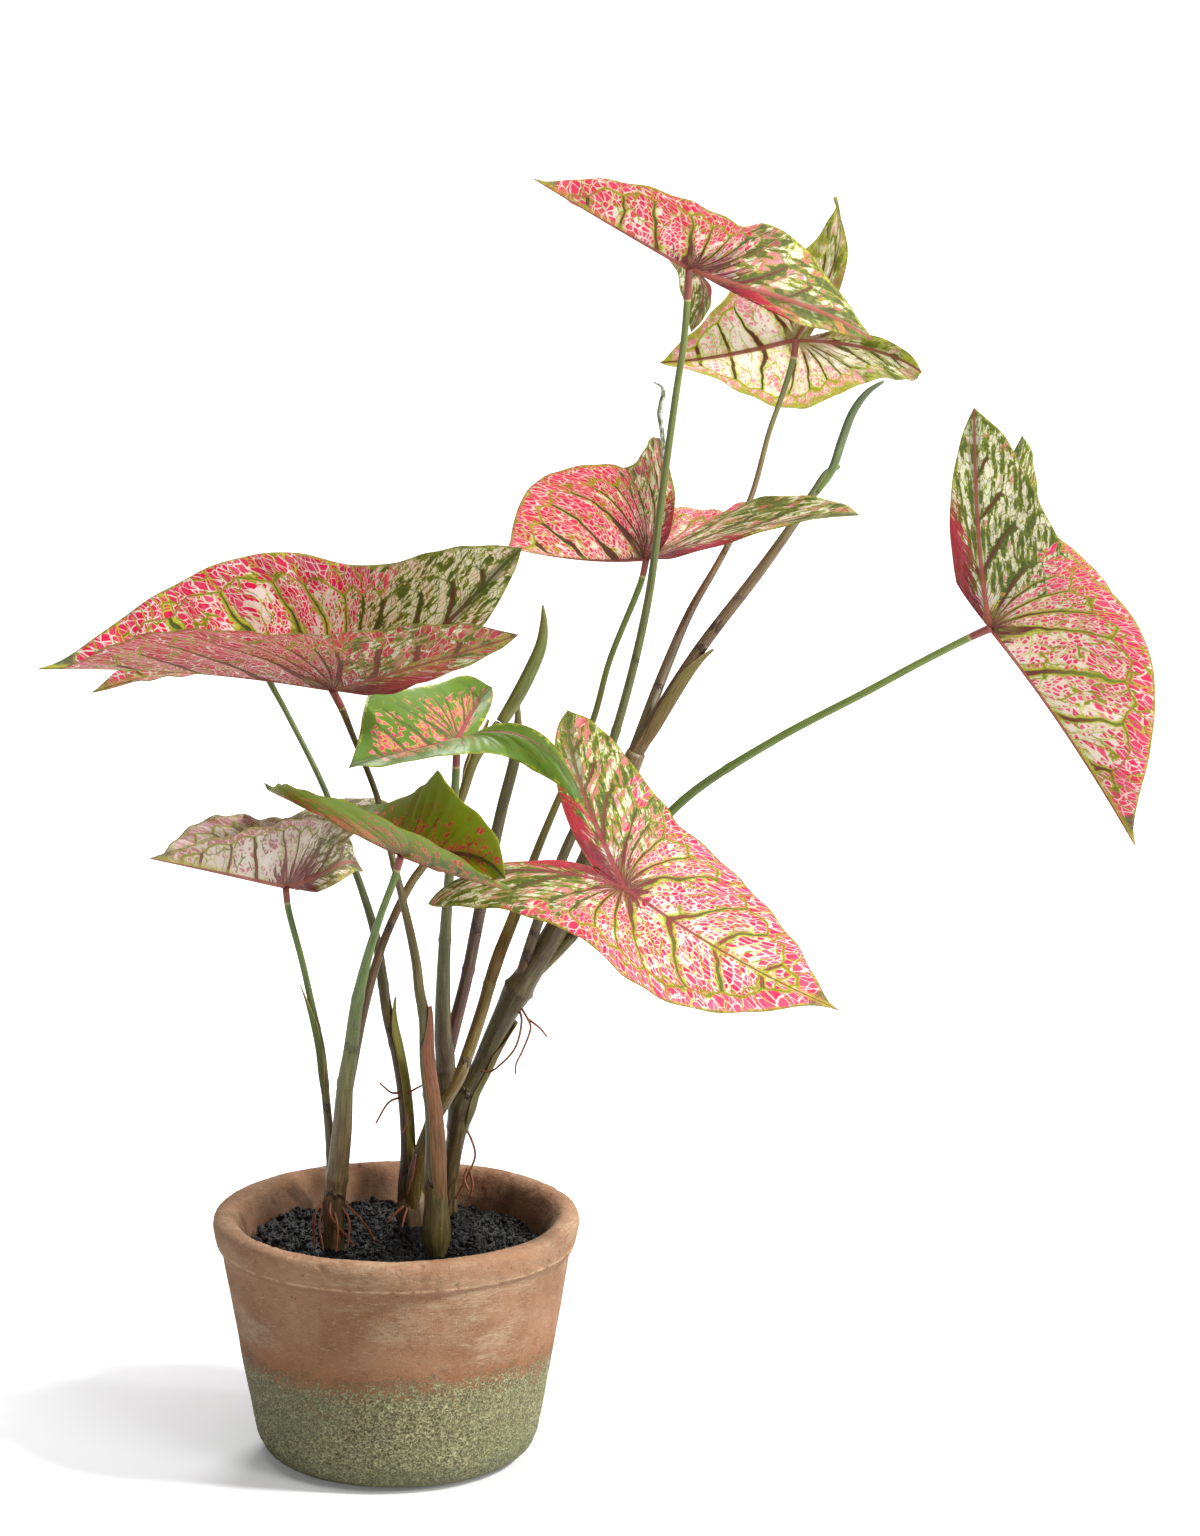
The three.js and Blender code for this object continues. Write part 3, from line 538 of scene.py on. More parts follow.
def addVeins(sheet, look, blade, upper):
    # the vein inside the margin that joins the side veins, and the side veins in their green halos
    farness = blade.rib.step(4, 42)
    bandAt = look["band"] * (1.2 - blade.lateral / look["spacing"] * 0.9) + (blade.middling - 0.5) * 4
    blade.inside = blade.edge.step(bandAt - 0.4, bandAt + 0.4)
    blade.outer = 1 - blade.inside
    blade.joining = blade.edge.away(bandAt).fall(0.3, 0.7)
    blade.joiningHalo = (blade.edge.away(bandAt) + blade.ragged * 0.6).fall(0.6, 1.2)
    blade.joiningHalo *= blade.broad.step(0.36, 0.48)
    width = ((0.9 if upper else 1.2) - farness * 0.7) * look["veins"]
    offJoint = blade.length.step(0.03, 0.12)
    blade.sideVein = blade.lateral.fall(width, width + 0.35) * blade.inside * offJoint
    beside = (blade.lateral + blade.ragged * 0.7 - (1.7 - farness * 0.7) * look["halo"]).fall(0.0, 0.7)
    blade.sideHalo = beside * blade.inside * offJoint
    blade.thinVein = blade.between.fall(0.2, 0.5) * blade.inside * blade.rib.step(3, 9)
    blade.thinVein *= blade.middling.step(0.45, 0.55)
    blade.thinVein *= blade.length.step(0.1, 0.3)

    # branches of the side veins
    branchAcross = blade.row * 0.12 + blade.fine * 0.25 + blade.turn
    branches = sheet.cells(sheet.vector(blade.rib * 0.065 + blade.middling * 0.7, branchAcross))
    kept = blade.middling.step(0.44, 0.52) * blade.length.step(0.1, 0.25)
    blade.branch = branches.fall(0.02, 0.045) * kept
    blade.branchHalo = (branches + (blade.fine - 0.5) * 0.12).fall(0.035, 0.065) * kept * look["halo"]

    blade.mainRib = blade.rib.fall(1.0 - blade.length * 0.8, 1.5 - blade.length * 1.0)
    blade.ribHalo = (blade.rib + (blade.fine - 0.5) * 3).fall(1.4, 3.4) * blade.length.step(0.2, 0.6)


def addCells(sheet, look, blade):
    # cells between the finest veins, each with its own random numbers, and the coarser net that groups them
    grain = look["grain"]
    ribCells = blade.rib * (0.32 - blade.outer * 0.1) * grain + blade.fine * 0.25 + blade.turn
    rowCells = blade.row * (0.22 - blade.outer * 0.07) * (blade.opened * 0.7 + 0.3) * grain
    rowCells += blade.middling * 0.6
    cellSpace = sheet.vector(ribCells, rowCells)
    blade.wall = sheet.cells(cellSpace, 0.95)
    blade.chances = sheet.cellChance(cellSpace, 0.95)
    ribNet = blade.rib * 0.1 * grain + blade.fine * 0.12 + blade.turn
    rowNet = blade.row * 0.13 * grain + blade.middling * 0.5
    blade.netWall = sheet.cells(sheet.vector(ribNet, rowNet))

    # pale where it is near the ribs or between the veins: cells shrink, and some are left out
    dots = sheet.noise(sheet.vector(blade.rib * 0.5, blade.row * 0.8, blade.turn), 1.0, 2.0)
    nearRib = blade.rib.fall(3, 32) * blade.length.fall(0.45, 0.9)
    paleness = nearRib * 0.8 + blade.lateral.fall(2, 6) * 0.3
    paleness = paleness + blade.broad.step(0.45, 0.62) * 0.6 - blade.outer * 0.7
    paleness = (paleness * look["pale"] * 2).clear()
    gap = paleness * 0.18 * (0.3 + blade.chances[1]) + blade.chances[2] * 0.08 + look["walls"]
    blade.fill = blade.wall.step(gap, gap + 0.05)
    blade.fill *= blade.chances[0].step(paleness * 0.3 - 0.01, paleness * 0.3)
    blade.fill *= blade.netWall.step(0.025 + paleness * 0.05, 0.045 + paleness * 0.05)
    blade.fill *= dots.step(paleness * 0.47 - 0.06, paleness * 0.47)

    light = tone(*look["pinkLight"])
    blade.pink = sheet.blend(blade.streaks.step(0.45, 0.75) * 0.6, tone(*look["pink"]), light)
    blade.pink = sheet.blend(blade.chances[1].step(0.3, 1.0) * (paleness * 0.6 + 0.4), blade.pink, light)


def greenPaint(sheet, look, blade):
    # flecks near the ribs of a green blade
    tones = bladeTones
    reach = look["centre"]
    bare = blade.lobe * (blade.y.step(0, 8) * look["bareLobe"] + 6)
    near = blade.rib + (blade.middling - 0.5) * 40 + bare + blade.length * 10
    near = near.fall(reach * 0.2, reach * 1.3)
    near = near * blade.edge.step(look["clearEdge"], look["clearEdge"] + 5)
    chosen = blade.chances[0].step(1 - near * 0.75 - 0.02, 1 - near * 0.75) * near.step(0.02, 0.12)
    blade.fill = blade.wall.step(0.1, 0.14) * chosen
    base = sheet.blend(blade.wall.step(0.0, 0.04) * chosen, tones["leafGreen"], tones["fleckEdge"])
    base = sheet.blend(blade.streaks.step(0.5, 0.8) * 0.4, base, tones["leafDark"])
    blade.rosy = blade.fill * look["vivid"]
    blade.greens = 1 - blade.fill
    blade.coreTone = tones["leafDark"]
    blade.haloTone = tones["lobeGreen"]
    blade.sideHalo = blade.sideHalo * 0.4
    blade.opaque = blade.mainRib
    return sheet.blend(blade.fill, base, blade.pink)


def pinkPaint(sheet, look, blade):
    # a cream and lime ground under the pink cells, and cream streaks on the dark basal lobes
    tones = bladeTones
    lobeEdge = (blade.lobe - blade.outer * look["lobeRim"] * 0.5) * look["lobeGreen"]
    inLobe = (lobeEdge + (blade.chances[2] - 0.5) * 0.6 + (blade.broad - 0.5) * 0.6).step(0.48, 0.52)
    stripes = sheet.vector(blade.rib * 0.6 + blade.turn, blade.row * 0.07, blade.middling * 1.5)
    stripes = sheet.noise(stripes, 1.0, 3.0, 0.6)
    crackRow = blade.row * 0.1 + blade.middling * 0.5
    cracks = sheet.cells(sheet.vector(blade.rib * 0.5 + blade.fine * 0.4 + blade.turn, crackRow))
    shade = (blade.lateral + blade.ragged * 1.5).fall(1.5, 5.0) * blade.inside
    shade += blade.edge.fall(1, look["band"] * 1.8) * 0.4
    level = shade * 0.13 + blade.broad * 0.16 + (0.385 - look["bright"])
    streak = stripes.step(level, level + 0.025) * cracks.step(0.03, 0.06)
    fringe = stripes.step(level - 0.05, level - 0.01)

    netGreen = (blade.lateral + blade.ragged * 1.2).fall(1.0, 4.5) * 0.7 * look["halo"]
    netGreen = netGreen + blade.branchHalo + blade.joiningHalo
    coarse = blade.netWall.fall(0.02, 0.07) * blade.broad.step(0.42, 0.58) * blade.inside * 0.7
    netGreen = (netGreen + coarse).clear()
    ground = sheet.blend(netGreen, tones["cream"], tones["lime"])
    plain = sheet.blend(blade.fill, ground, blade.pink)
    dark = sheet.blend(blade.fine.step(0.45, 0.65), tones["lobeGreen"], tones["olive"])
    dark = sheet.blend(fringe * 0.5, dark, tones["lime"])
    rosyStreak = blade.chances[0].step(1 - look["lobePink"], 1.02 - look["lobePink"])
    striped = sheet.blend(streak, dark, sheet.blend(rosyStreak, tones["lobeCream"], blade.pink))
    colour = sheet.blend(inLobe, plain, striped)
    blade.rosy = blade.fill * (1 - inLobe) * look["vivid"]
    blade.coreTone = sheet.blend(inLobe, tones["olive"], tones["oliveDark"])
    blade.haloTone = sheet.blend(inLobe, tones["lime"], tones["lobeGreen"])
    limes = blade.branchHalo * 0.8
    limes = limes.most(blade.joiningHalo * 0.85) * (1 - inLobe)
    blade.greens = (inLobe * (1 - streak)).most((1 - blade.fill) * netGreen * (1 - inLobe))
    blade.greens = blade.greens.most(limes.most(blade.sideHalo))
    blade.opaque = blade.sideVein.most(blade.mainRib).most(inLobe * (1 - streak) * 0.7)
    return sheet.blend(limes, colour, tones["lime"])


def veinPaint(sheet, look, blade, colour, upper):
    # side veins in their halos, branches, the green margin and the vein inside it
    tones = bladeTones
    colour = sheet.blend(blade.sideHalo, colour, blade.haloTone)
    core = (blade.lateral + blade.ragged * 0.6).fall(0.8, 1.7) * blade.inside
    colour = sheet.blend(core * 0.8, colour, blade.coreTone)
    colour = sheet.blend(blade.thinVein * 0.8, colour, blade.coreTone)
    colour = sheet.blend(blade.branch * look["net"], colour, blade.coreTone)
    margin = look["margin"]
    blade.border = (blade.edge + (blade.middling - 0.5) * margin * 4).fall(margin * 0.2, margin)
    rimTone = sheet.blend(blade.fine.step(0.4, 0.55), tones["lime"], tones["olive"])
    colour = sheet.blend(blade.border * 0.8, colour, rimTone)
    colour = sheet.blend(blade.joining * 0.8, colour, tones["olive"])
    if "centre" in look:
        veinTone = tones["leafDark"]
    else:
        nearTone = tones["ribOver"] if upper else tones["veinUnder"]
        veinTone = sheet.blend(blade.rib.fall(4, 16 if upper else 30), tones[look["veinEnd"]], nearTone)
        veinTone = sheet.blend(blade.length.fall(0.1, 0.35), veinTone, tones["heartRed"])
    return sheet.blend(blade.sideVein * 0.95, colour, veinTone)


def jointPaint(sheet, look, blade, colour, upper):
    # dark fingers round the joint, crimson inner edge of the lobes, green tip, main ribs and worn edge
    tones = bladeTones
    fingers = (blade.away + (blade.streaks - 0.5) * 60 - blade.lobe * 12).fall(7, 12) * look["heart"]
    fingerTone = sheet.blend(blade.streaks.step(0.5, 0.62), tones["heartRed"], tones["heartGreen"])
    colour = sheet.blend(fingers, colour, fingerTone)
    red = (blade.sinus + (blade.streaks - 0.5) * 2.2 - blade.length * 0.3).step(0.2, 0.4) * look["red"]
    deepRed = blade.length.fall(0.1, 0.45) * blade.streaks.step(0.3, 0.55)
    colour = sheet.blend(red, colour, sheet.blend(deepRed, tones["sinusRed"], tones["heartRed"]))
    colour = sheet.blend((blade.tip + (blade.fine - 0.5) * 0.3).step(0.4, 0.6), colour, tones["tip"])
    colour = sheet.blend(blade.ribHalo * 0.7, colour, blade.haloTone)
    ribTone = tones["ribUnder"]
    if upper:
        ribTone = sheet.blend(blade.length.step(0.25, 0.75), tones["ribOver"], tones["oliveDark"])
    colour = sheet.blend(blade.mainRib * look["ribs"], colour, ribTone)
    colour = sheet.blend(blade.edge.fall(0.15, 0.7) * 0.55, colour, tones["edge"])
    if "centre" not in look:
        blade.opaque = blade.opaque.most(fingers.most(red))
    return colour


def bladeMaterial(name, look, upper):
    sheet = Sheet(name)
    tones = bladeTones
    blade = readBlade(sheet, look)
    addVeins(sheet, look, blade, upper)
    addCells(sheet, look, blade)
    colour = greenPaint(sheet, look, blade) if "centre" in look else pinkPaint(sheet, look, blade)
    colour = veinPaint(sheet, look, blade, colour, upper)
    colour = jointPaint(sheet, look, blade, colour, upper)
    # dulled towards a dark tone: the underside's own dullness, and painted shade where a blade lies in shade
    colour = sheet.blend(look["dullnessAndShade"], colour, tones["under"])
    colour = sheet.blend(look["dust"] * blade.broad.step(0.2, 0.6), colour, tones["dust"])

    if upper:
        height = blade.fill * 0.5 - blade.sideVein * 1.3 - blade.branch * 0.6
        height = height - blade.joining * 0.6 - blade.mainRib * 0.8
    else:
        height = blade.sideVein * 1.6 + blade.branch * 0.7 + blade.joining * 0.7 - blade.fill * 0.3
    roughness = 0.36 + blade.opaque * 0.3 + blade.fine * 0.12
    surface = sheet.skin(colour, roughness, sheet.bump(height, 0.5, 0.0005), 0.42)

    # light that comes through is rosy in the cells, green in the net, and else cream
    cream, rose, leaf = [sheet.node("BsdfTranslucent", {}, {"Color": tones[key]})
                         for key in ("glowCream", "glowPink", "glowGreen")]
    through = sheet.node("MixShader", {}, {0: blade.rosy, 1: cream, 2: rose})
    through = sheet.node("MixShader", {}, {0: blade.greens.most(blade.border * 0.8), 1: through, 2: leaf})
    share = look["glow"] * (1 - blade.opaque * 0.9)
    return sheet.finish(sheet.node("MixShader", {}, {0: share, 1: surface, 2: through}))


def bladeFaces(around, rings):
    # a fan round the joint, then rings out to the margin
    faces = [(0, 1 + (k + 1) % around, 1 + k) for k in range(around)]
    for ring in range(rings - 1):
        inner = 1 + ring * around
        for k in range(around):
            following = (k + 1) % around
            faces.append((inner + k, inner + following, inner + around + following, inner + around + k))
    return faces


def pointNormals(points, faces):
    corners = np.array([(*face, face[0])[:4] for face in faces])
    across = points[corners[:, 2]] - points[corners[:, 0]]
    down = points[corners[:, 3]] - points[corners[:, 1]]
    normals = np.zeros_like(points)
    for k in range(4):
        np.add.at(normals, corners[:, k], np.cross(across, down))
    return normals / np.maximum(np.linalg.norm(normals, axis=1), 1e-12)[:, None]


def makeLeaf(name, leaf, look):
    unit = leaf["length"]
    look = {**usualLook, **look, "length": unit, "band": bladeShape["band"] * unit,
            "spacing": bladeShape["veinSpacing"] * unit}
    stations, rings = bladeShape["stations"], bladeShape["rings"]
    around = 2 * stations
    notch = len(bladeShape["outline"]) - 1
    places = [notch * k / stations for k in range(stations + 1)]
    depths = [((k + 1) / rings) ** bladeShape["crowding"] for k in range(rings)]
    field = veinField(leaf, places, depths)

    def whole(left, right, atJoint):
        # the joint, then rings round the blade: right half tip to notch, left half back to the tip
        rows = np.concatenate([right, left[:, -2:0:-1]], axis=1)
        return np.concatenate([[atJoint], rows.reshape(-1, *rows.shape[2:])])

    rib, weft, lobe, sinus, tip, x = (
        whole(field[key], field[key], 0.0) for key in ("rib", "weft", "lobe", "sinus", "tip", "x"))
    y = whole(field["y"], -field["y"], 0.0)
    edge = whole(field["edge"], field["edge"], 40.0)

    points = whole(*(bladeHalf(leaf, side, places, depths) for side in (0, 1)), (0, 0, 0))
    axes = bladeFrame(leaf)
    points = (np.array(leaf["joint"]) + unit * (points @ axes)) * mm
    faces = bladeFaces(around, rings)
    normals = pointNormals(points, faces)
    turnedDown = np.dot(normals[1:around].mean(axis=0), axes[2]) < 0
    if turnedDown:
        normals = -normals

    # quilted between the side veins, rippled along the margin, ribbed beneath
    swell = np.sin(np.pi * weft) ** 2 * np.clip(rib / 12, 0, 1) * np.clip(edge / 8, 0, 1)
    ripple = np.sin(weft * 3.6 + x * 0.05) * np.clip(1 - edge / (0.16 * unit), 0, 1) ** 2
    ripple *= np.clip(rib / 15, 0, 1) * look["ripple"]
    lift = (bladeShape["quilt"] * unit * swell + ripple) * mm
    taper = np.clip(1.15 - np.hypot(x, y) / unit, 0.15, 1)
    ribbing = bladeShape["ribHeight"] * taper * np.exp(-(rib / (0.5 + 0.8 * taper)) ** 2)
    thin = bladeShape["thinEdge"]
    half = bladeShape["thickness"] / 2 * np.clip(thin + edge / 3, thin, 1)
    over = points + normals * (lift + half * mm)[:, None]
    under = points + normals * (lift - (half + ribbing) * mm)[:, None]

    total = len(points)
    rim = total - around
    shell = faces + [tuple(total + k for k in reversed(face)) for face in faces]
    slots = [0] * len(faces) + [1] * len(faces)
    for k in range(around):
        a, b = rim + k, rim + (k + 1) % around
        shell.append((a, b, total + b, total + a))
        slots.append(0)
    if turnedDown:
        shell = [tuple(reversed(face)) for face in shell]
    turn = np.full(total, random.Random(name).uniform(0, 40))
    attributes = {
        "bladePlace": np.tile(np.stack([x, y, lobe], axis=1), (2, 1)),
        "bladeVeins": np.tile(np.stack([rib, weft, edge], axis=1), (2, 1)),
        "bladeZones": np.tile(np.stack([sinus, tip, turn], axis=1), (2, 1)),
    }
    materials = [
        bladeMaterial(f"{name} upper", look, True),
        bladeMaterial(f"{name} under", {**look, **look["beneath"]}, False),
    ]
    buildPiece(f"blade_{name}", np.vstack([over, under]), shell, materials, [f"leaf_{name}"],
               attributes, slots)


for name, leaf in leaves.items():
    makeLeaf(name, leaf, leafLooks[name])
print("leaf blades made")


# x, y, z and radius along each, from the blade or tip down, mm
stalks = {
    "trunk": [
        (131, 50, 382.5, 5.2), (120, 50, 356, 6.4), (105.5, 50, 322, 6.6), (88, 53, 283, 6.6),
        (71.5, 56, 255.5, 7), (65.5, 57, 245.5, 8), (60, 58, 235, 6.6), (50.5, 59, 214, 5.8),
        (45, 60, 201, 5.6), (38, 60, 188.5, 6.4), (34.5, 60, 179.5, 7.4), (31.5, 60, 164, 5.4),
        (28, 61, 140, 4.6), (27, 61, 124, 5), (27, 61, 106, 5),
    ],
    "topPetiole": [
        (158, 0, 654, 1.9), (157.5, 1, 642.5, 1.9), (155.5, 4, 615.5, 1.8), (151, 8, 583, 1.9),
        (144, 13, 528.5, 2), (137, 19, 473, 2.2), (124.5, 26, 416.5, 2.4), (111, 32, 372, 2.6),
        (93, 39, 331.5, 2.8), (76.5, 46, 286, 3), (66, 56, 250, 3.2),
    ],
    "behindPetiole": [
        (220, 160, 593.5, 1.8), (219, 159, 584, 1.8), (213, 154, 564.5, 1.5), (205.5, 148, 544, 1.5),
        (194.5, 138, 506.5, 1.6), (177.5, 124, 475, 1.9), (161, 108, 449, 2.4), (145.5, 85, 417.5, 3),
        (130, 52, 383, 3.4),
    ],
    "rightPetiole": [
        (320.5, 10, 459.5, 2.3), (310.5, 12, 454.5, 2.1), (283, 17, 439, 2), (256.5, 22, 423, 2.1),
        (208.5, 31, 395, 2.2), (165.5, 39, 365.5, 2.4), (148, 42, 349, 2.5), (122, 46, 316.5, 2.7),
        (98.5, 51, 281.5, 2.9), (70, 57, 250, 3.2),
    ],
    "frontPetiole": [
        (124, -75, 337, 2.4), (121, -64, 327.5, 2.2), (115, -38, 314, 2.2), (106.5, -8, 304.5, 2.4),
        (97, 26, 297, 2.8), (90, 52, 287, 3.2),
    ],
    "rightSheath": [
        (242, 84, 534.5, 0.9), (235.5, 82, 531.5, 2.2), (229, 80, 522.5, 2.4), (216.5, 76, 504, 2.6),
        (198.5, 70, 479.5, 3), (165.5, 60, 437.5, 3.4), (146, 54, 407.5, 4), (129, 50, 379, 4.4),
    ],
    "rightFurled": [
        (265.5, 87, 581, 0.8), (257, 88, 575, 1.7), (249, 88, 564, 2.2), (243, 86, 548.5, 2.4),
        (237.5, 82, 533, 2.3), (229, 79, 521, 1.8),
    ],
    "leftBehindPetiole": [
        (-75.5, 100, 421.5, 1.8), (-71, 98, 411.5, 1.8), (-62, 94, 395.5, 1.6), (-40.5, 82, 354, 1.7),
        (-29.5, 72, 325.5, 1.9), (-21, 65, 305, 2.1), (-12, 56, 276.5, 2.6), (-5.5, 46, 235.5, 3.2),
        (-0.5, 41, 215.5, 3.4), (3.5, 37, 190.5, 3.6), (5, 35, 161.5, 3.8), (4, 33, 138, 4.6),
        (5, 33, 122, 5), (7, 34, 106, 5),
    ],
    "greenHighPetiole": [
        (35, -20, 403.5, 2.1), (34.5, -18, 389, 2.2), (32, -8, 352.5, 2.4), (30, 0, 326.5, 2.6),
        (26.5, 13, 275, 3.6), (25.5, 24, 230.5, 4.8), (26.5, 27, 215, 5.4), (24.5, 31, 194, 4.4),
        (17.5, 34, 173, 4.2), (13, 36, 154, 4.4), (11.5, 37, 134, 4.8), (11.5, 36, 122, 5),
        (10, 35, 106, 5),
    ],
    "darkShoot": [
        (67, 30, 412.5, 1.2), (66.5, 30, 396.5, 2.8), (65, 30, 383.5, 3.1), (58, 30, 355.5, 3.2),
        (46.5, 30, 302, 3.4), (38.5, 29, 261.5, 3.4), (32.5, 28, 237.5, 3.6), (26.5, 27, 213, 3.6),
    ],
    "middlePetiole": [
        (136.5, 90, 482, 1.9), (134, 89, 470.5, 1.8), (116.5, 82, 427, 1.7), (107, 77, 393.5, 1.8),
        (86.5, 70, 347, 2.1), (75.5, 66, 320.5, 2.4), (63.5, 60, 288, 2.8), (54, 53, 264.5, 3.2),
        (47, 46, 240.5, 3.4), (39, 38, 217, 3.5), (34, 31, 204.5, 3.5), (26, 26, 191.5, 3.5),
        (17, 25, 175, 3.6), (10, 27, 152, 4), (8, 30, 131.5, 4.6), (8, 32, 121, 5), (8, 34, 106, 5),
    ],
    "greenLowPetiole": [
        (7, -80, 356, 2), (3.5, -77, 343.5, 2), (-4.5, -68, 320.5, 2), (-12.5, -56, 293, 2.6),
        (-18.5, -46, 266, 3.4), (-22.5, -37, 237, 4), (-25.5, -32, 219, 4.4), (-28, -24, 190, 5.4),
        (-31.5, -18, 159, 5.8), (-33, -15, 144, 5.6), (-33, -13, 122, 5), (-33, -13, 106, 5),
    ],
    "centreSheath": [
        (57.5, 15, 406, 3.2), (44, 13, 388, 3), (35.5, 8, 364, 2.4), (18.5, -1, 334.5, 2.3),
        (9.5, -6, 322.5, 2.3), (-5, -17, 293, 2.3), (-15, -28, 260.5, 2.6), (-24, -31, 219, 3.2),
    ],
    "centreFurled": [
        (80.5, 22, 469.5, 0.6), (81, 22, 460.5, 2), (79.5, 21, 448, 3.2), (73.5, 19, 433.5, 3.8),
        (65, 17, 417.5, 3.8), (58, 15.1, 406.6, 3.2),
    ],
    "lowLeftPetiole": [
        (-57, -20, 324, 1.9), (-56, -20, 313, 1.8), (-49, -19, 283.5, 1.8), (-42.5, -17, 251, 1.9),
        (-39, -16, 231.5, 2.2), (-37, -15, 205.5, 2.3), (-35.5, -15, 187.5, 2.4), (-34.5, -14, 167.5, 2.8),
        (-35.5, -13, 147.5, 3.4), (-36, -12, 122, 3.6), (-37, -11.5, 106, 3.6),
    ],
    "leftPetiole": [
        (-30, -40, 436, 2.2), (-25.5, -36, 425.6, 2.1), (-21, -27, 411, 1.7), (-8, -2, 368, 1.7),
        (-0.5, -10, 339, 1.9), (4.5, -19, 321.4, 2.1), (12.5, -26, 285.4, 2.6), (14.5, -28, 268, 2.9),
        (17, -29, 254.6, 3.2), (18, -29, 229, 3.8), (21, -27, 202, 4.4), (22, -26, 185, 5),
        (22, -25, 165, 5.8), (22.5, -23, 147, 6.6), (22.5, -23, 135, 7.8), (22.5, -22.5, 127, 7.6),
        (22.5, -22, 119, 5.2), (22.5, -22, 106, 5),
    ],
}

green = (104, 130, 54)
darkGreen = (76, 90, 42)
olive = (108, 96, 50)
brown = (100, 74, 50)
purpleBrown = (82, 56, 46)

# tones from the top down, the CAD node that each stands for, how long the reddish neck is that carries a
# blade, and where old leaves have left rings, mm from the top
stalkLooks = {
    "trunk": {
        "tones": [(116, 98, 66), (94, 80, 50), (84, 78, 44), (96, 76, 50)], "node": "cane_main",
        "rings": (150, 238),
    },
    "topPetiole": {
        "tones": [(118, 134, 62), (104, 116, 56), (92, 94, 50), brown], "node": "cane_main", "neck": 16,
        "rings": (260,),
    },
    "behindPetiole": {
        "tones": [(120, 138, 70), (132, 112, 78), brown, olive], "node": "cane_main", "neck": 10,
    },
    "rightPetiole": {
        "tones": [(132, 152, 74), (118, 142, 62), (92, 116, 50), olive], "node": "cane_main", "neck": 12,
        "rings": (164,),
    },
    "frontPetiole": {"tones": [(140, 84, 72), olive, brown, brown], "node": "cane_main"},
    "rightSheath": {"tones": [(112, 126, 82), (126, 106, 80), brown, (106, 84, 56)], "node": "cane_main"},
    "rightFurled": {"tones": [(112, 126, 92), (96, 116, 82), (104, 122, 84), green], "node": "furled_right"},
    "leftBehindPetiole": {
        "tones": [green, darkGreen, (90, 72, 42), purpleBrown], "node": "cane_centre", "rings": (190, 224),
    },
    "greenHighPetiole": {
        "tones": [green, (92, 98, 46), (86, 68, 42), (92, 84, 42)], "node": "cane_centre", "neck": 13,
        "rings": (120, 200),
    },
    "darkShoot": {
        "tones": [(100, 100, 54), (88, 84, 50), purpleBrown, (92, 56, 50)], "node": "cane_centre",
        "rings": (150,),
    },
    "middlePetiole": {
        "tones": [green, (112, 108, 50), (112, 92, 40), (92, 72, 36)], "node": "cane_centre", "neck": 9,
        "rings": (120, 190, 250),
    },
    "greenLowPetiole": {
        "tones": [green, (98, 126, 60), (116, 98, 62), (98, 72, 48)], "node": "cane_left", "neck": 8,
        "rings": (96, 150, 208),
    },
    "centreSheath": {"tones": [(102, 106, 52), olive, brown, brown], "node": "cane_left"},
    "centreFurled": {
        "tones": [(112, 106, 48), (100, 112, 52), (96, 108, 50), (104, 104, 50)], "node": "furled_centre",
    },
    "lowLeftPetiole": {
        "tones": [(96, 130, 60), (84, 98, 46), (92, 80, 44), brown], "node": "cane_left", "neck": 8,
        "rings": (80, 112, 152),
    },
    "leftPetiole": {
        "tones": [(120, 92, 70), (108, 94, 56), (104, 96, 58), (104, 92, 50)], "node": "cane_front",
        "neck": 11, "rings": (118, 200, 246),
    },
}

stalkShape = {
    "sides": 32,
    "step": 2.5,                # between cross-sections, mm
    "ridges": 0.014,            # share of the radius
    "ringSwell": 0.13,          # share of the radius by which a ring stands out
    "ringWidth": 1.8,           # mm
}

stalkTones = {
    "streak": tone(52, 36, 26),
    "light": tone(170, 160, 92),
    "speck": tone(206, 194, 156),
    "scar": tone(58, 40, 30),
    "neck": tone(148, 80, 70),
    "neckRing": tone(206, 178, 128),
}


def smoothRoute(route, step):
    # centripetal curve through the points, radius included, cut at about one step
    def between(p, q, start, end, t):
        return ((end - t) * p + (t - start) * q) / (end - start)

    points = [np.array(point, dtype=float) for point in route]
    points = [2 * points[0] - points[1], *points, 2 * points[-1] - points[-2]]
    made = []
    for a, b, c, d in zip(points, points[1:], points[2:], points[3:]):
        pairs = ((a, b), (b, c), (c, d))
        knots = [0.0]
        for p, q in pairs:
            knots.append(knots[-1] + max(np.linalg.norm((q - p)[:3]), 1e-6) ** 0.5)
        count = max(2, int(round(np.linalg.norm((c - b)[:3]) / step)))
        for k in range(count):
            t = knots[1] + (knots[2] - knots[1]) * k / count
            first = [between(p, q, knots[j], knots[j + 1], t) for j, (p, q) in enumerate(pairs)]
            second = [between(first[j], first[j + 1], knots[j], knots[j + 2], t) for j in range(2)]
            made.append(between(*second, knots[1], knots[2], t))
    made.append(points[-2])
    return np.array(made)


def travelled(centres):
    # mm along the route at each of its points
    return np.concatenate([[0], np.cumsum(np.linalg.norm(np.diff(centres, axis=0), axis=1))])


def spokes(centres):
    # two directions across the route at each point, carried along without twisting
    ways = np.gradient(centres, axis=0)
    ways /= np.linalg.norm(ways, axis=1)[:, None]
    side = np.cross(ways[0], (0, 1, 0.2))
    pairs = []
    for way in ways:
        side = side - way * np.dot(side, way)
        side /= np.linalg.norm(side)
        pairs.append((side.copy(), np.cross(way, side)))
    return pairs


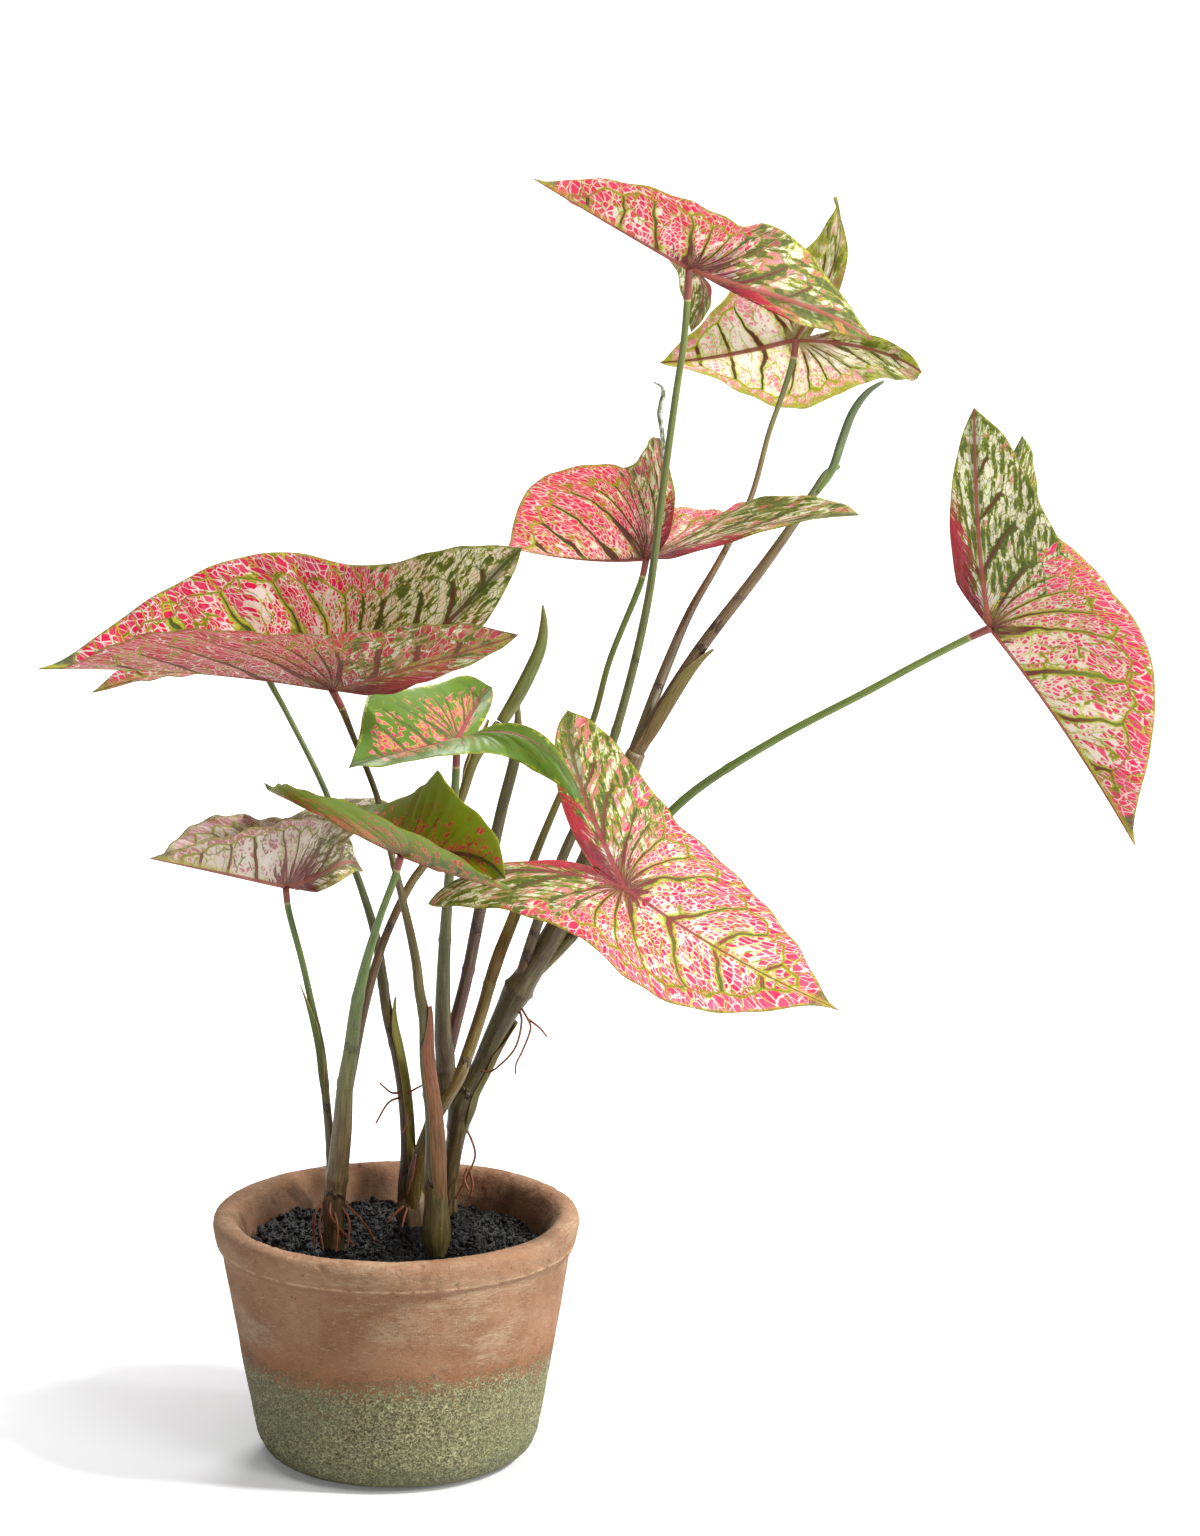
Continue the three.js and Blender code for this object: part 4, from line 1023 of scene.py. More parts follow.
def tube(route, sides, step, ridges=0.0, rings=()):
    curve = smoothRoute(route, step)
    centres, radii = curve[:, :3], np.maximum(curve[:, 3], 0.3)
    run = travelled(centres)
    points, places = [], []
    for (side, other), centre, radius, distance in zip(spokes(centres), centres, radii, run):
        for ringAt in rings:
            nearness = math.exp(-((distance - ringAt) / stalkShape["ringWidth"]) ** 2)
            radius = radius * (1 + stalkShape["ringSwell"] * nearness)
        for k in range(sides):
            angle = 2 * math.pi * k / sides
            grown = radius * (1 + ridges * (math.sin(3 * angle + distance * 0.03) + math.sin(8 * angle)))
            points.append(centre + grown * (math.cos(angle) * side + math.sin(angle) * other))
            places.append((distance, distance / run[-1], k / sides))
    rows = len(centres)
    faces = gridFaces(rows, sides)
    faces.append(tuple(reversed(range(sides))))
    faces.append(tuple(range((rows - 1) * sides, rows * sides)))
    faces = [tuple(reversed(face)) for face in faces]
    return np.array(points) * mm, faces, places


def stalkMaterial(name, look):
    sheet = Sheet(name)
    tones = stalkTones
    distance, share, turn = sheet.attribute("stalkPlace")
    angle = turn * (2 * math.pi)
    cosine, sine = sheet.math("COSINE", angle), sheet.math("SINE", angle)
    around = sheet.vector(cosine, sine, distance * 0.012)
    streak = sheet.noise(around, 5.0, 4.0, 0.6)
    patch = sheet.noise(around, 1.4, 2.0)
    speck = sheet.noise(sheet.vector(cosine, sine, distance * 0.5), 4.0, 2.0)
    scar = sheet.cells(sheet.vector(distance * 0.013 + patch * 0.2, 0.37), 0.9)
    scar = scar.fall(0.008, 0.022) * share.step(0.35, 0.6)

    stops = [(k / 3, tone(*value)) for k, value in enumerate(look["tones"])]
    place = (share + (patch - 0.5) * 0.35).clear()
    colour = sheet.node("ValToRGB", {"stops": stops}, {"Fac": place})
    colour = sheet.blend(streak.step(0.45, 0.68) * 0.5, colour, tones["streak"])
    colour = sheet.blend((1 - streak).step(0.5, 0.72) * 0.3, colour, tones["light"])
    colour = sheet.blend(speck.step(0.62, 0.75) * 0.35, colour, tones["speck"])
    colour = sheet.blend(scar * 0.8, colour, tones["scar"])
    if "neck" in look:
        ending = look["neck"]
        colour = sheet.blend(distance.fall(ending - 0.6, ending + 0.6), colour, tones["neck"])
        colour = sheet.blend(distance.away(ending + 0.8).fall(0.3, 0.9) * 0.7, colour, tones["neckRing"])
    height = streak * 0.35 + speck * 0.15 - scar * 1.8
    return sheet.finish(sheet.skin(colour, 0.3 + streak * 0.16, sheet.bump(height, 0.8, 0.0007)))


for name, route in stalks.items():
    look = stalkLooks[name]
    rings = look.get("rings", ())
    points, faces, places = tube(route, stalkShape["sides"], stalkShape["step"], stalkShape["ridges"], rings)
    material = stalkMaterial(f"{name} skin", look)
    buildPiece(name, points, faces, [material], [look["node"]], {"stalkPlace": places})
print("stalks made")


# leaf sheaths that stand off the stalks. along: where each starts and ends, mm from its stalk's top. facing:
# degrees from +X. span: degrees round the stalk at its widest. lift: how far its tip stands off, mm
sheaths = {
    "lowLeft": {
        "stalk": "lowLeftPetiole", "along": (54, 128), "facing": 190, "span": 200, "lift": 1.6,
        "tones": [(116, 140, 70), (74, 74, 38)],
    },
    "leftBehind": {
        "stalk": "leftBehindPetiole", "along": (196, 320), "facing": -8, "span": 170, "lift": 3.2,
        "tones": [(128, 128, 52), (128, 116, 34)],
    },
    "front": {
        "stalk": "leftPetiole", "along": (196, 320), "facing": -32, "span": 165, "lift": 1.4,
        "tones": [(162, 102, 78), (122, 98, 58)],
    },
    "centre": {
        "stalk": "centreSheath", "along": (2, 42), "facing": 160, "span": 150, "lift": 3.4,
        "tones": [(140, 116, 64), (112, 106, 54)],
    },
    "right": {
        "stalk": "rightSheath", "along": (122, 196), "facing": -20, "span": 190, "lift": 2.6,
        "tones": [(120, 116, 62), (112, 84, 50)],
    },
    "trunk": {
        "stalk": "trunk", "along": (168, 252), "facing": 20, "span": 170, "lift": 2.0,
        "tones": [(104, 104, 56), (88, 92, 46)],
    },
    "middle": {
        "stalk": "middlePetiole", "along": (186, 262), "facing": -60, "span": 160, "lift": 1.6,
        "tones": [(136, 118, 50), (96, 70, 40)],
    },
}

sheathShape = {
    "columns": 14,
    "gap": 0.35,                # from the stalk's skin, mm
    "thickness": 0.6,           # mm
    "tipWidth": 0.12,           # share of its width
    "opening": 26,              # how soon it widens below its tip, mm
    "flare": 9,                 # how soon it closes on the stalk, mm
    "footWidth": 0.65,          # share of its width
    "sunk": 1.4,                # how deep its foot sits in the stalk, mm
}

sheathTones = {
    "fibre": tone(78, 62, 42),
    # lighter fibres, partly a painted highlight
    "light": tone(176, 138, 104),
    "rim": tone(190, 164, 112),
}


def sheathMaterial(name, look):
    sheet = Sheet(name)
    distance, share, across = sheet.attribute("stalkPlace")
    fibre = sheet.noise(sheet.vector(across * 12, distance * 0.03), 2.0, 4.0, 0.65)
    upperTone, lowerTone = (tone(*value) for value in look["tones"])
    colour = sheet.blend((share + (fibre - 0.5) * 0.5).clear(), upperTone, lowerTone)
    colour = sheet.blend(fibre.step(0.46, 0.62) * 0.6, colour, sheathTones["fibre"])
    # lighter fibre streaks, partly painted highlight
    colour = sheet.blend((1 - fibre).step(0.52, 0.68) * 0.25, colour, sheathTones["light"])
    rim = across.away(0.5).step(0.44, 0.5)
    colour = sheet.blend(rim * 0.7, colour, sheathTones["rim"])
    return sheet.finish(sheet.skin(colour, 0.6, sheet.bump(fibre, 0.8, 0.0006), 0.25))


def makeSheath(name, look):
    shape = sheathShape
    columns = shape["columns"]
    curve = smoothRoute(stalks[look["stalk"]], stalkShape["step"])
    run = travelled(curve[:, :3])
    start, end = look["along"]
    kept = (run >= start) & (run <= end)
    ways = np.gradient(curve[:, :3], axis=0)[kept]
    centres, radii, run = curve[kept, :3], curve[kept, 3], run[kept] - start
    turn = math.radians(look["facing"])
    facing = np.array((math.cos(turn), math.sin(turn), 0.0))
    skins = [[], []]
    places = []
    for centre, radius, distance, way in zip(centres, radii, run, ways):
        way = way / np.linalg.norm(way)
        front = facing - way * np.dot(facing, way)
        front /= np.linalg.norm(front)
        side = np.cross(way, front)
        narrowed = 1 - (1 - shape["footWidth"]) * smoothStep(distance, 0.6 * run[-1], run[-1])
        opening = min(1.0, shape["tipWidth"] + distance / shape["opening"]) * narrowed
        opening *= math.radians(look["span"])
        inner = radius + shape["gap"] + look["lift"] * math.exp(-distance / shape["flare"])
        inner -= shape["sunk"] * smoothStep(distance, 0.7 * run[-1], run[-1])
        for k in range(columns):
            share = k / (columns - 1)
            angle = opening * (share - 0.5)
            ray = math.cos(angle) * front + math.sin(angle) * side
            skins[0].append(centre + ray * inner)
            skins[1].append(centre + ray * (inner + shape["thickness"]))
            places.append((distance, distance / run[-1], share))

    rows = len(centres)
    count = rows * columns
    faces = [tuple(reversed(face)) for face in gridFaces(rows, columns, 0, False)]
    faces += gridFaces(rows, columns, count, False)
    edge = list(range(columns))
    edge += [row * columns + columns - 1 for row in range(1, rows)]
    edge += [(rows - 1) * columns + k for k in range(columns - 2, -1, -1)]
    edge += [row * columns for row in range(rows - 2, 0, -1)]
    for a, b in zip(edge, edge[1:] + edge[:1]):
        faces.append((b + count, a + count, a, b))
    points = np.array(skins[0] + skins[1]) * mm
    material = sheathMaterial(f"sheath {name}", look)
    buildPiece(f"sheath_{name}", points, faces, [material], [], {"stalkPlace": places + places})


for name, look in sheaths.items():
    makeSheath(name, look)

# the papery top of the corm, where three stalks of the middle cane leave the soil
corm = {
    "route": [
        (8, 33, 141, 3.2), (8, 33, 136, 6.4), (8, 33.5, 129, 8.6), (8, 34, 121, 9.2), (8, 34, 108, 7.5),
    ],
    "tones": [(120, 98, 72), (108, 86, 62), (92, 70, 50), (70, 54, 40)],
    "sides": 28,
    "step": 1.5,                # mm
    "ridges": 0.05,             # share of the radius
}
points, faces, places = tube(corm["route"], corm["sides"], corm["step"], corm["ridges"])
buildPiece("corm", points, faces, [stalkMaterial("corm skin", corm)], ["cane_centre"],
           {"stalkPlace": places})

# roots in the air, mm
roots = {
    "cane_main": [
        [(66.5, 57, 236), (68, 52, 230.5), (64.5, 49, 216), (56.5, 49, 206.5), (50, 51, 201.5),
         (43, 57, 202)],
        [(67.5, 57, 237), (71.5, 51, 231.5), (73, 50, 227.5), (68.5, 48, 214.5), (65, 48, 207),
         (64.5, 49, 201)],
        [(71, 52, 232), (78.5, 48, 227), (82, 46, 223)],
        [(34, 60, 172), (40, 56, 161), (42, 55, 152.5), (39, 54, 144), (35, 54, 135.5), (31, 55, 127.5)],
        [(39, 54, 144), (40.5, 53, 135.5), (39, 53, 128.5)],
        [(38, 54, 146), (36, 52, 140), (38.5, 51, 133)],
    ],
    "cane_centre": [
        [(3, 37, 194), (-3, 32, 195), (-9.5, 28, 201.5)],
        [(3.5, 37, 191.5), (-4.5, 31, 190), (-12, 28, 178.5)],
        [(3.5, 36, 192), (9, 31, 197), (14.5, 27, 201)],
        [(3, 37, 189.5), (5.5, 31, 181), (2.5, 28, 172.5)],
        [(10, 22, 163), (8, 20, 150), (5, 21, 140)],
        [(3, 26, 132), (-3, 23, 127), (-8, 22, 121)],
        [(5, 26, 131), (3, 22, 125), (2, 20, 120)],
    ],
    "cane_left": [
        [(-36, -14, 151), (-43, -19, 142), (-44.5, -16, 131), (-43.5, -17, 122)],
        [(-33.5, -17, 151.5), (-35, -24, 143.5), (-30, -20, 133), (-22.5, -14, 122)],
        [(-30, -17, 149.5), (-22.5, -16, 141.5), (-15, -10, 130), (-12, -6, 122)],
        [(-31, -17, 147.5), (-25, -20, 138.5), (-26, -22, 122)],
        [(-38, -15, 148), (-41, -19, 136), (-39, -21, 121)],
        [(-34, -18, 146), (-31, -23, 135), (-32, -24, 121)],
    ],
}
rootLook = {
    "radius": 0.78,             # mm
    "taper": 0.35,              # share of the radius lost at the end
    "sides": 8,
    "step": 1.2,                # mm
    "tones": [(112, 62, 40), (164, 98, 66)],
    "startTone": (96, 62, 40),  # where it leaves its stalk
}


def rootMaterial():
    sheet = Sheet("root skin")
    distance, share, turn = sheet.attribute("stalkPlace")
    fibre = sheet.noise(sheet.vector(turn * 4, distance * 0.2), 1.5, 3.0)
    colour = sheet.blend(fibre.step(0.3, 0.7), *(tone(*value) for value in rootLook["tones"]))
    colour = sheet.blend(share.fall(0.0, 0.3) * 0.5, colour, tone(*rootLook["startTone"]))
    return sheet.finish(sheet.skin(colour, 0.5, sheet.bump(fibre, 0.3, 0.0003)))


rootSkin = rootMaterial()
for node, routes in roots.items():
    points, faces, places = np.zeros((0, 3)), [], []
    for route in routes:
        last = len(route) - 1
        radii = [rootLook["radius"] * (1 - rootLook["taper"] * k / last) for k in range(last + 1)]
        sized = [(*point, radius) for point, radius in zip(route, radii)]
        newPoints, newFaces, newPlaces = tube(sized, rootLook["sides"], rootLook["step"])
        faces += [tuple(index + len(points) for index in face) for face in newFaces]
        points = np.vstack([points, newPoints])
        places += newPlaces
    name = node.replace("cane", "roots")
    buildPiece(name, points, faces, [rootSkin], [node], {"stalkPlace": places})
print("sheaths and roots made")

# withered tip of the middle leaf's near lobe
wither = {
    "route": [
        (147, 24, 545, 1.6), (145.4, 24, 553.5, 1.5), (144.3, 24, 563.3, 1.2), (143.2, 24, 573.5, 1.5),
        (144.2, 24, 579.4, 1.4), (144.8, 24, 587, 1.0), (140, 24, 590.2, 0.5),
    ],
    "sides": 12,
    "step": 1.2,                # mm
    "ridges": 0.12,             # share of the radius
    "tones": [(210, 214, 196), (104, 112, 80)],
}


def witherMaterial():
    sheet = Sheet("withered tip")
    distance, _, turn = sheet.attribute("stalkPlace")
    mottle = sheet.noise(sheet.vector(turn * 3, distance * 0.15), 1.5, 3.0)
    colour = sheet.blend(mottle.step(0.42, 0.58), *(tone(*value) for value in wither["tones"]))
    return sheet.finish(sheet.skin(colour, 0.4, sheet.bump(mottle, 0.4, 0.0004)))


points, faces, places = tube(wither["route"], wither["sides"], wither["step"], wither["ridges"])
buildPiece("witheredTip", points, faces, [witherMaterial()], [], {"stalkPlace": places})


# a list of pairs holds layers of noise: height in mm, and how fine each is
potShape = {
    "around": 520,
    "widest": 99.95,            # radius that the skin stays within, mm
    "mossTop": 62,              # mean height of the mossy part, mm
    "mossFade": 13,             # mm above and below it
    "mossEdge": [(6, 0.02), (6, 0.1), (6, 0.5)],
    "wormTop": 90,              # the mossy worms stay below this height, mm
    "wormSize": 2.2,            # mm
    "wormBend": 1.6,            # mm
    "wormHeight": 0.5,          # mm
    "outerLayers": [(0.35, 0.05), (0.12, 0.3)],
    "innerLayers": [(-0.3, 0.06), (-0.1, 0.3)],
    "lipFoot": (116.5, 121.5),  # heights between which the lip's lower edge runs up and down, mm
    "lipSway": [(1.6, 0.018)],
    "lipFrom": 121,             # mm
    "lipLayers": [(0.22, 0.3), (0.1, 0.9)],
    "lipDrop": 0.35,            # mm
    "dropLayers": [(-0.5, 0.05), (-0.3, 0.4)],
    "chipDepth": 0.8,           # mm
    "chipDrop": 0.5,            # mm
}

# outside from the base up, over the lip and down the inside; radius, height and rows to the next point
potProfile = [
    (0.5, 0, 2), (30, 0, 2), (60, 0, 4), (68, 2, 6), (73.5, 6.5, 8), (77, 14, 62), (86, 62, 22),
    (88.95, 80, 20), (95, 117, 3), (96, 118.6, 2), (97.4, 120, 6), (99.2, 127, 5), (100, 132.5, 4),
    (99.4, 135.4, 3), (98, 136.8, 3), (94.5, 138, 4), (90.5, 137.5, 4), (87, 134.6, 4), (84.5, 130, 5),
    (82, 124, 8), (79.2, 104, 3), (65, 19, 2), (59, 13, 2), (0.5, 13, 0),
]

potTones = {
    "clay": tone(136, 98, 70),
    "clayLight": tone(154, 117, 88),
    "clayBelow": tone(138, 91, 58),
    "clayDark": tone(120, 84, 60),
    "grit": tone(186, 148, 114),
    "chalk": tone(186, 168, 140),
    "scratch": tone(196, 166, 134),
    # lip tone: wear, and painted light on its top
    "lipWearAndLight": tone(172, 134, 104),
    # painted shade in the crease under the lip
    "grooveShade": tone(110, 76, 54),
    # painted highlight along the lip's lower edge
    "lipEdgeHighlight": tone(200, 166, 132),
    "inside": tone(124, 92, 70),
    "stain": tone(82, 60, 48),
    "mossDark": tone(80, 76, 50),
    "mossLight": tone(192, 190, 142),
    "mossGrey": tone(112, 118, 84),
    "mossBelow": tone(92, 100, 70),
    "clayInMoss": tone(134, 98, 68),
    "pit": tone(92, 62, 44),
}


def potRows():
    rows = []
    for (r0, z0, count), (r1, z1, _) in zip(potProfile, potProfile[1:]):
        for k in range(count):
            rows.append((r0 + (r1 - r0) * k / count, z0 + (z1 - z0) * k / count))
    rows.append(potProfile[-1][:2])
    softened = np.array(rows)
    for _ in range(3):
        softened[1:-1] = (softened[:-2] + 2 * softened[1:-1] + softened[2:]) / 4
        softened[softened[:, 1] < 0.02, 1] = 0
    return softened


def layered(spot, layers):
    # height of all the layers of noise together, mm
    return sum(height * noise.noise(spot * fineness) for height, fineness in layers)


def weathered(x, y, z, radius, outside):
    # worms and moss at a place on the skin, and how far it is pushed out and up, mm
    shape = potShape
    spot = Vector((x, y, z))
    worm, moss, out, up = 0.0, 0.0, 0.0, 0.0
    if outside:
        mossTop = shape["mossTop"] + layered(spot, shape["mossEdge"])
        moss = float(smoothStep(mossTop - z, -shape["mossFade"], shape["mossFade"]))
    if outside and z > 0.5:
        if z < shape["wormTop"]:
            sway = Vector((noise.noise(spot * 0.35), noise.noise(spot * 0.35 + Vector((9, 0, 0))), 0))
            bent = spot + sway * shape["wormBend"]
            worm = max(0.0, 1 - abs(noise.noise(bent / shape["wormSize"])) * 3.2) * (0.25 + 0.75 * moss)
        out = shape["wormHeight"] * (worm - 0.4) * moss * min(1.0, z / 6)
        out += layered(spot, shape["outerLayers"])
    elif radius > 62:
        out = layered(spot, shape["innerLayers"])
    low, high = shape["lipFoot"]
    if outside and low < z < high:
        up = layered(Vector((x, y, 0)), shape["lipSway"])
    if z > shape["lipFrom"] and radius > 80:
        chip = float(smoothStep(noise.noise(spot * 0.13 + Vector((40, 0, 0))), 0.38, 0.55))
        out += layered(spot, shape["lipLayers"]) - shape["chipDepth"] * chip * outside
        up += layered(spot, shape["dropLayers"]) - shape["lipDrop"] - shape["chipDrop"] * chip
    return worm, moss, out, up


def makePot():
    rows = potRows()
    around = potShape["around"]
    top = np.argmax(rows[:, 1])
    points, skin = [], []
    for index, (radius, z) in enumerate(rows):
        outside = index < top
        for k in range(around):
            angle = 2 * math.pi * k / around
            cosine, sine = math.cos(angle), math.sin(angle)
            worm, moss, out, up = weathered(radius * cosine, radius * sine, z, radius, outside)
            grown = min(radius + out, potShape["widest"])
            points.append((grown * cosine * mm, grown * sine * mm, (z + up) * mm))
            skin.append((worm, moss, float(outside)))
    faces = gridFaces(len(rows), around)
    faces.append(tuple(reversed(range(around))))
    faces.append(tuple(range((len(rows) - 1) * around, len(rows) * around)))
    buildPiece("potBody", points, faces, [potMaterial()], ["pot"], {"potSkin": skin})


def potMaterial():
    sheet = Sheet("weathered terracotta")
    tones = potTones
    worm, moss, outside = sheet.attribute("potSkin")
    spot = sheet.node("TexCoord", {}, {}, 3)
    x, y, z = (sheet.node("SeparateXYZ", {}, {0: spot}, k) * 1000 for k in range(3))
    place = sheet.vector(x, y, z)
    brushed = sheet.vector(x, y, z * 5)
    large = sheet.noise(place, 0.022, 3.0)
    clay = sheet.noise(place, 0.12, 4.0, 0.6)
    grain = sheet.noise(place, 0.9, 3.0, 0.6)
    brush = sheet.noise(brushed, 0.05, 4.0, 0.65)
    fineBrush = sheet.noise(brushed, 0.25, 3.0, 0.6)

    # bare clay with its chalk and scratches
    colour = sheet.blend(large.step(0.35, 0.65), tones["clay"], tones["clayLight"])
    colour = sheet.blend(z.fall(64, 90) * 0.7, colour, tones["clayBelow"])
    colour = sheet.blend(clay.step(0.45, 0.7) * 0.45, colour, tones["clayDark"])
    colour = sheet.blend(grain.step(0.5, 0.75) * 0.3, colour, tones["grit"])
    wash = sheet.noise(sheet.vector(x, y, z * 2.5), 0.018, 4.0, 0.6).step(0.44, 0.64)
    chalk = wash * (fineBrush.step(0.3, 0.7) * 0.6 + brush.step(0.4, 0.6) * 0.4) * z.step(62, 84)
    colour = sheet.blend(chalk * 0.55, colour, tones["chalk"])
    scratch = fineBrush.step(0.57, 0.63) * z.step(66, 80) * clay.step(0.35, 0.6)
    colour = sheet.blend(scratch * 0.3, colour, tones["scratch"])

    # worn lip, lighter on top partly as painted light; painted shade in the crease beneath it and a painted
    # highlight on the edge just above; the inside, darker below the rim, with stains
    # lighter lip: partly wear, partly painted light on its top
    colour = sheet.blend(z.step(112, 124) * clay.step(0.4, 0.65) * 0.4, colour, tones["lipWearAndLight"])
    # painted shade: a dark band in the crease under the lip
    grooveShade = z.away(119.5).fall(0.5, 2.6) * outside * large.step(0.35, 0.6)
    colour = sheet.blend(grooveShade * 0.4, colour, tones["grooveShade"])
    # painted highlight: a light line along the lip's lower edge
    lipEdgeHighlight = z.away(121.8).fall(0.2, 1.1) * outside * clay.step(0.4, 0.55)
    colour = sheet.blend(lipEdgeHighlight * 0.6, colour, tones["lipEdgeHighlight"])
    inner = (1 - outside) * z.fall(128, 136)
    colour = sheet.blend(inner * 0.5, colour, tones["inside"])
    stain = sheet.noise(sheet.vector(x, y, z * 0.25), 0.06, 2.0).step(0.52, 0.6) * inner
    colour = sheet.blend(stain * 0.6, colour, tones["stain"])

    squiggle = sheet.noise(place, 0.45, 2.5).away(0.5).fall(0.02, 0.08)
    mossTone = sheet.blend(squiggle * 0.6 + worm * 0.4, tones["mossDark"], tones["mossLight"])
    mossTone = sheet.blend(large.step(0.4, 0.7) * 0.4, mossTone, tones["mossGrey"])
    mossTone = sheet.blend(z.fall(2, 26) * 0.4, mossTone, tones["mossBelow"])
    clayShows = (grain * 0.6 + clay * 0.4).step(0.52, 0.62) * z.step(16, 56)
    mossTone = sheet.blend(clayShows * 0.6, mossTone, tones["clayInMoss"])
    cover = (moss + (squiggle - 0.4) * 0.4 + (grain - 0.5) * 1.2).step(0.3, 0.75)
    colour = sheet.blend(cover, colour, mossTone)

    pit = sheet.noise(place, 0.2, 4.0, 0.7).step(0.66, 0.7) * z.step(100, 116)
    colour = sheet.blend(pit * 0.7, colour, tones["pit"])
    rough = grain * 0.4 + fineBrush * 0.25 - pit * 1.2 + (squiggle * 1.8 + worm * 0.3) * cover
    return sheet.finish(sheet.skin(colour, 0.84 - cover * 0.2, sheet.bump(rough, 0.8, 0.0011), 0.3))


makePot()
print("pot made")


soilLook = {
    "level": 117.5,             # mm
    "radius": 80.2,             # mm
    "heap": (5, 10, 4),         # x, y and height, mm
    "lumps": [(2.6, 0.09), (2.4, 0.28)],    # layers of noise, as on the pot
    "grit": (1.2, 0.7),
    "foot": [(64.5, 20), (58.5, 13.4)],     # radius and height of its lower edges, mm
    "rings": 64,
    "around": 260,
    "crumbs": 4200,
    "crumbReach": 0.985,        # share of the radius
    "bigCrumbs": 0.1,           # share of them
    "seed": 11,
}

soilTones = {
    "dark": tone(3, 3, 3),
    "crumb": tone(16, 14, 13),
    "lump": tone(14, 11, 9),
    # painted highlight: light specks standing in for glints on the wet crumbs
    "crumbGlint": tone(112, 102, 92),
}


def soilHeight(x, y):
    heapX, heapY, heapHeight = soilLook["heap"]
    heap = heapHeight * math.exp(-((x - heapX) ** 2 + (y - heapY) ** 2) / 2200)
    lumps = 1.1 * math.sin(x * 0.11 + 1) * math.cos(y * 0.13) + 0.7 * math.sin(x * 0.23 - y * 0.19)
    return soilLook["level"] + heap + lumps - 0.02 * x


def soilMaterial():
    sheet = Sheet("potting soil")
    spot = sheet.node("TexCoord", {}, {}, 3)
    crumb = sheet.noise(spot, 420.0, 4.0, 0.7)
    lump = sheet.noise(spot, 90.0, 3.0)
    colour = sheet.blend(crumb.step(0.35, 0.7), soilTones["dark"], soilTones["crumb"])
    colour = sheet.blend(lump.step(0.55, 0.7) * 0.5, colour, soilTones["lump"])
    # painted highlights on the crumbs
    colour = sheet.blend(crumb.step(0.66, 0.72) * 0.6, colour, soilTones["crumbGlint"])
    return sheet.finish(sheet.skin(colour, 0.5, sheet.bump(crumb, 1.0, 0.0018), 0.3))


def circle(radius, around):
    turns = [2 * math.pi * k / around for k in range(around)]
    return [(radius * math.cos(angle), radius * math.sin(angle)) for angle in turns]


def makeSoilBed(material):
    rings, around = soilLook["rings"], soilLook["around"]
    points = []
    for ring in range(1, rings + 1):
        for x, y in circle(soilLook["radius"] * ring / rings, around):
            rough = layered(Vector((x, y, 0)), [*soilLook["lumps"], soilLook["grit"]])
            points.append((x, y, soilHeight(x, y) + rough - 0.4))
    for radius, z in soilLook["foot"]:
        points += [(x, y, z) for x, y in circle(radius, around)]
    faces = gridFaces(rings + 2, around)
    top = len(points)
    points.append((0, 0, soilHeight(0, 0)))
    points.append((0, 0, soilLook["foot"][-1][1]))
    last = (rings + 1) * around
    for k in range(around):
        following = (k + 1) % around
        faces.append((top, following, k))
        faces.append((top + 1, last + k, last + following))
    faces = [tuple(reversed(face)) for face in faces]
    buildPiece("soilBed", np.array(points) * mm, faces, [material], ["soil"])


def makeCrumbs(material):
    draw = random.Random(soilLook["seed"])
    ball = bpy.data.meshes.new("crumb")
    shape = bmesh.new()
    bmesh.ops.create_icosphere(shape, subdivisions=1, radius=1.0)
    shape.to_mesh(ball)
    shape.free()
    corners = np.array([vertex.co[:] for vertex in ball.vertices])
    sides = [tuple(face.vertices) for face in ball.polygons]
    bpy.data.meshes.remove(ball)

    points, faces = [], []
    for index in range(soilLook["crumbs"]):
        radius = soilLook["radius"] * soilLook["crumbReach"] * math.sqrt(draw.random())
        angle = draw.uniform(0, 2 * math.pi)
        x, y = radius * math.cos(angle), radius * math.sin(angle)
        size = draw.uniform(0.4, 1.0) + (draw.random() < soilLook["bigCrumbs"]) * draw.uniform(0.4, 1.7)
        squash = np.array([draw.uniform(0.7, 1.25), draw.uniform(0.7, 1.25), draw.uniform(0.6, 1.0)])
        own = Vector((index, 0, 0))
        dents = np.array([1 + 0.5 * noise.noise(Vector(corner) * 1.7 + own) for corner in corners])
        rough = layered(Vector((x, y, 0)), soilLook["lumps"])
        middle = np.array([x, y, soilHeight(x, y) + rough + draw.uniform(-0.2, 0.7)])
        faces += [tuple(len(points) + k for k in face) for face in sides]
        points.extend(middle + corners * dents[:, None] * squash * size)
    buildPiece("soilCrumbs", np.array(points) * mm, faces, [material], [])


soilSkin = soilMaterial()
makeSoilBed(soilSkin)
makeCrumbs(soilSkin)
print("soil made")


floorLook = {
    "half": 14.0,               # m
    "drop": 0.0002,             # m below the pot
    "paint": (0.7, 0.7, 0.71, 1.0),
    "glow": 0.76,
    "glowFrom": -0.2,           # m from the pot's middle, where there is some glow already
    "glowFull": 0.8,            # m from it
}

cameraLook = {
    "sensor": 36.0,             # mm
    "lens": 134.33,             # mm
    "place": (0.11119, -3.0, 1.05666),
    "down": 12.622,             # degrees below level
    "reach": 60.0,              # m
}

# kind, place, strength and size: degrees for a sun, m for a disc
lights = {
    "key": ("SUN", (2.15, -0.75, 2.6), 3.4, 6),
    "low": ("SUN", (3.0, -0.5, 1.35), 1.0, 8),
    "fill": ("AREA", (1.3, -1.6, 1.7), 22, 0.9),
    "front": ("AREA", (-0.4, -0.8, 2.8), 15, 1.0),
    "sheen": ("AREA", (0.2, 1.8, 2.0), 46, 1.0),
}
lightsAim = (0.1, 0.0, 0.42)
surroundLight = 0.15
white = (1.0, 1.0, 1.0, 1.0)


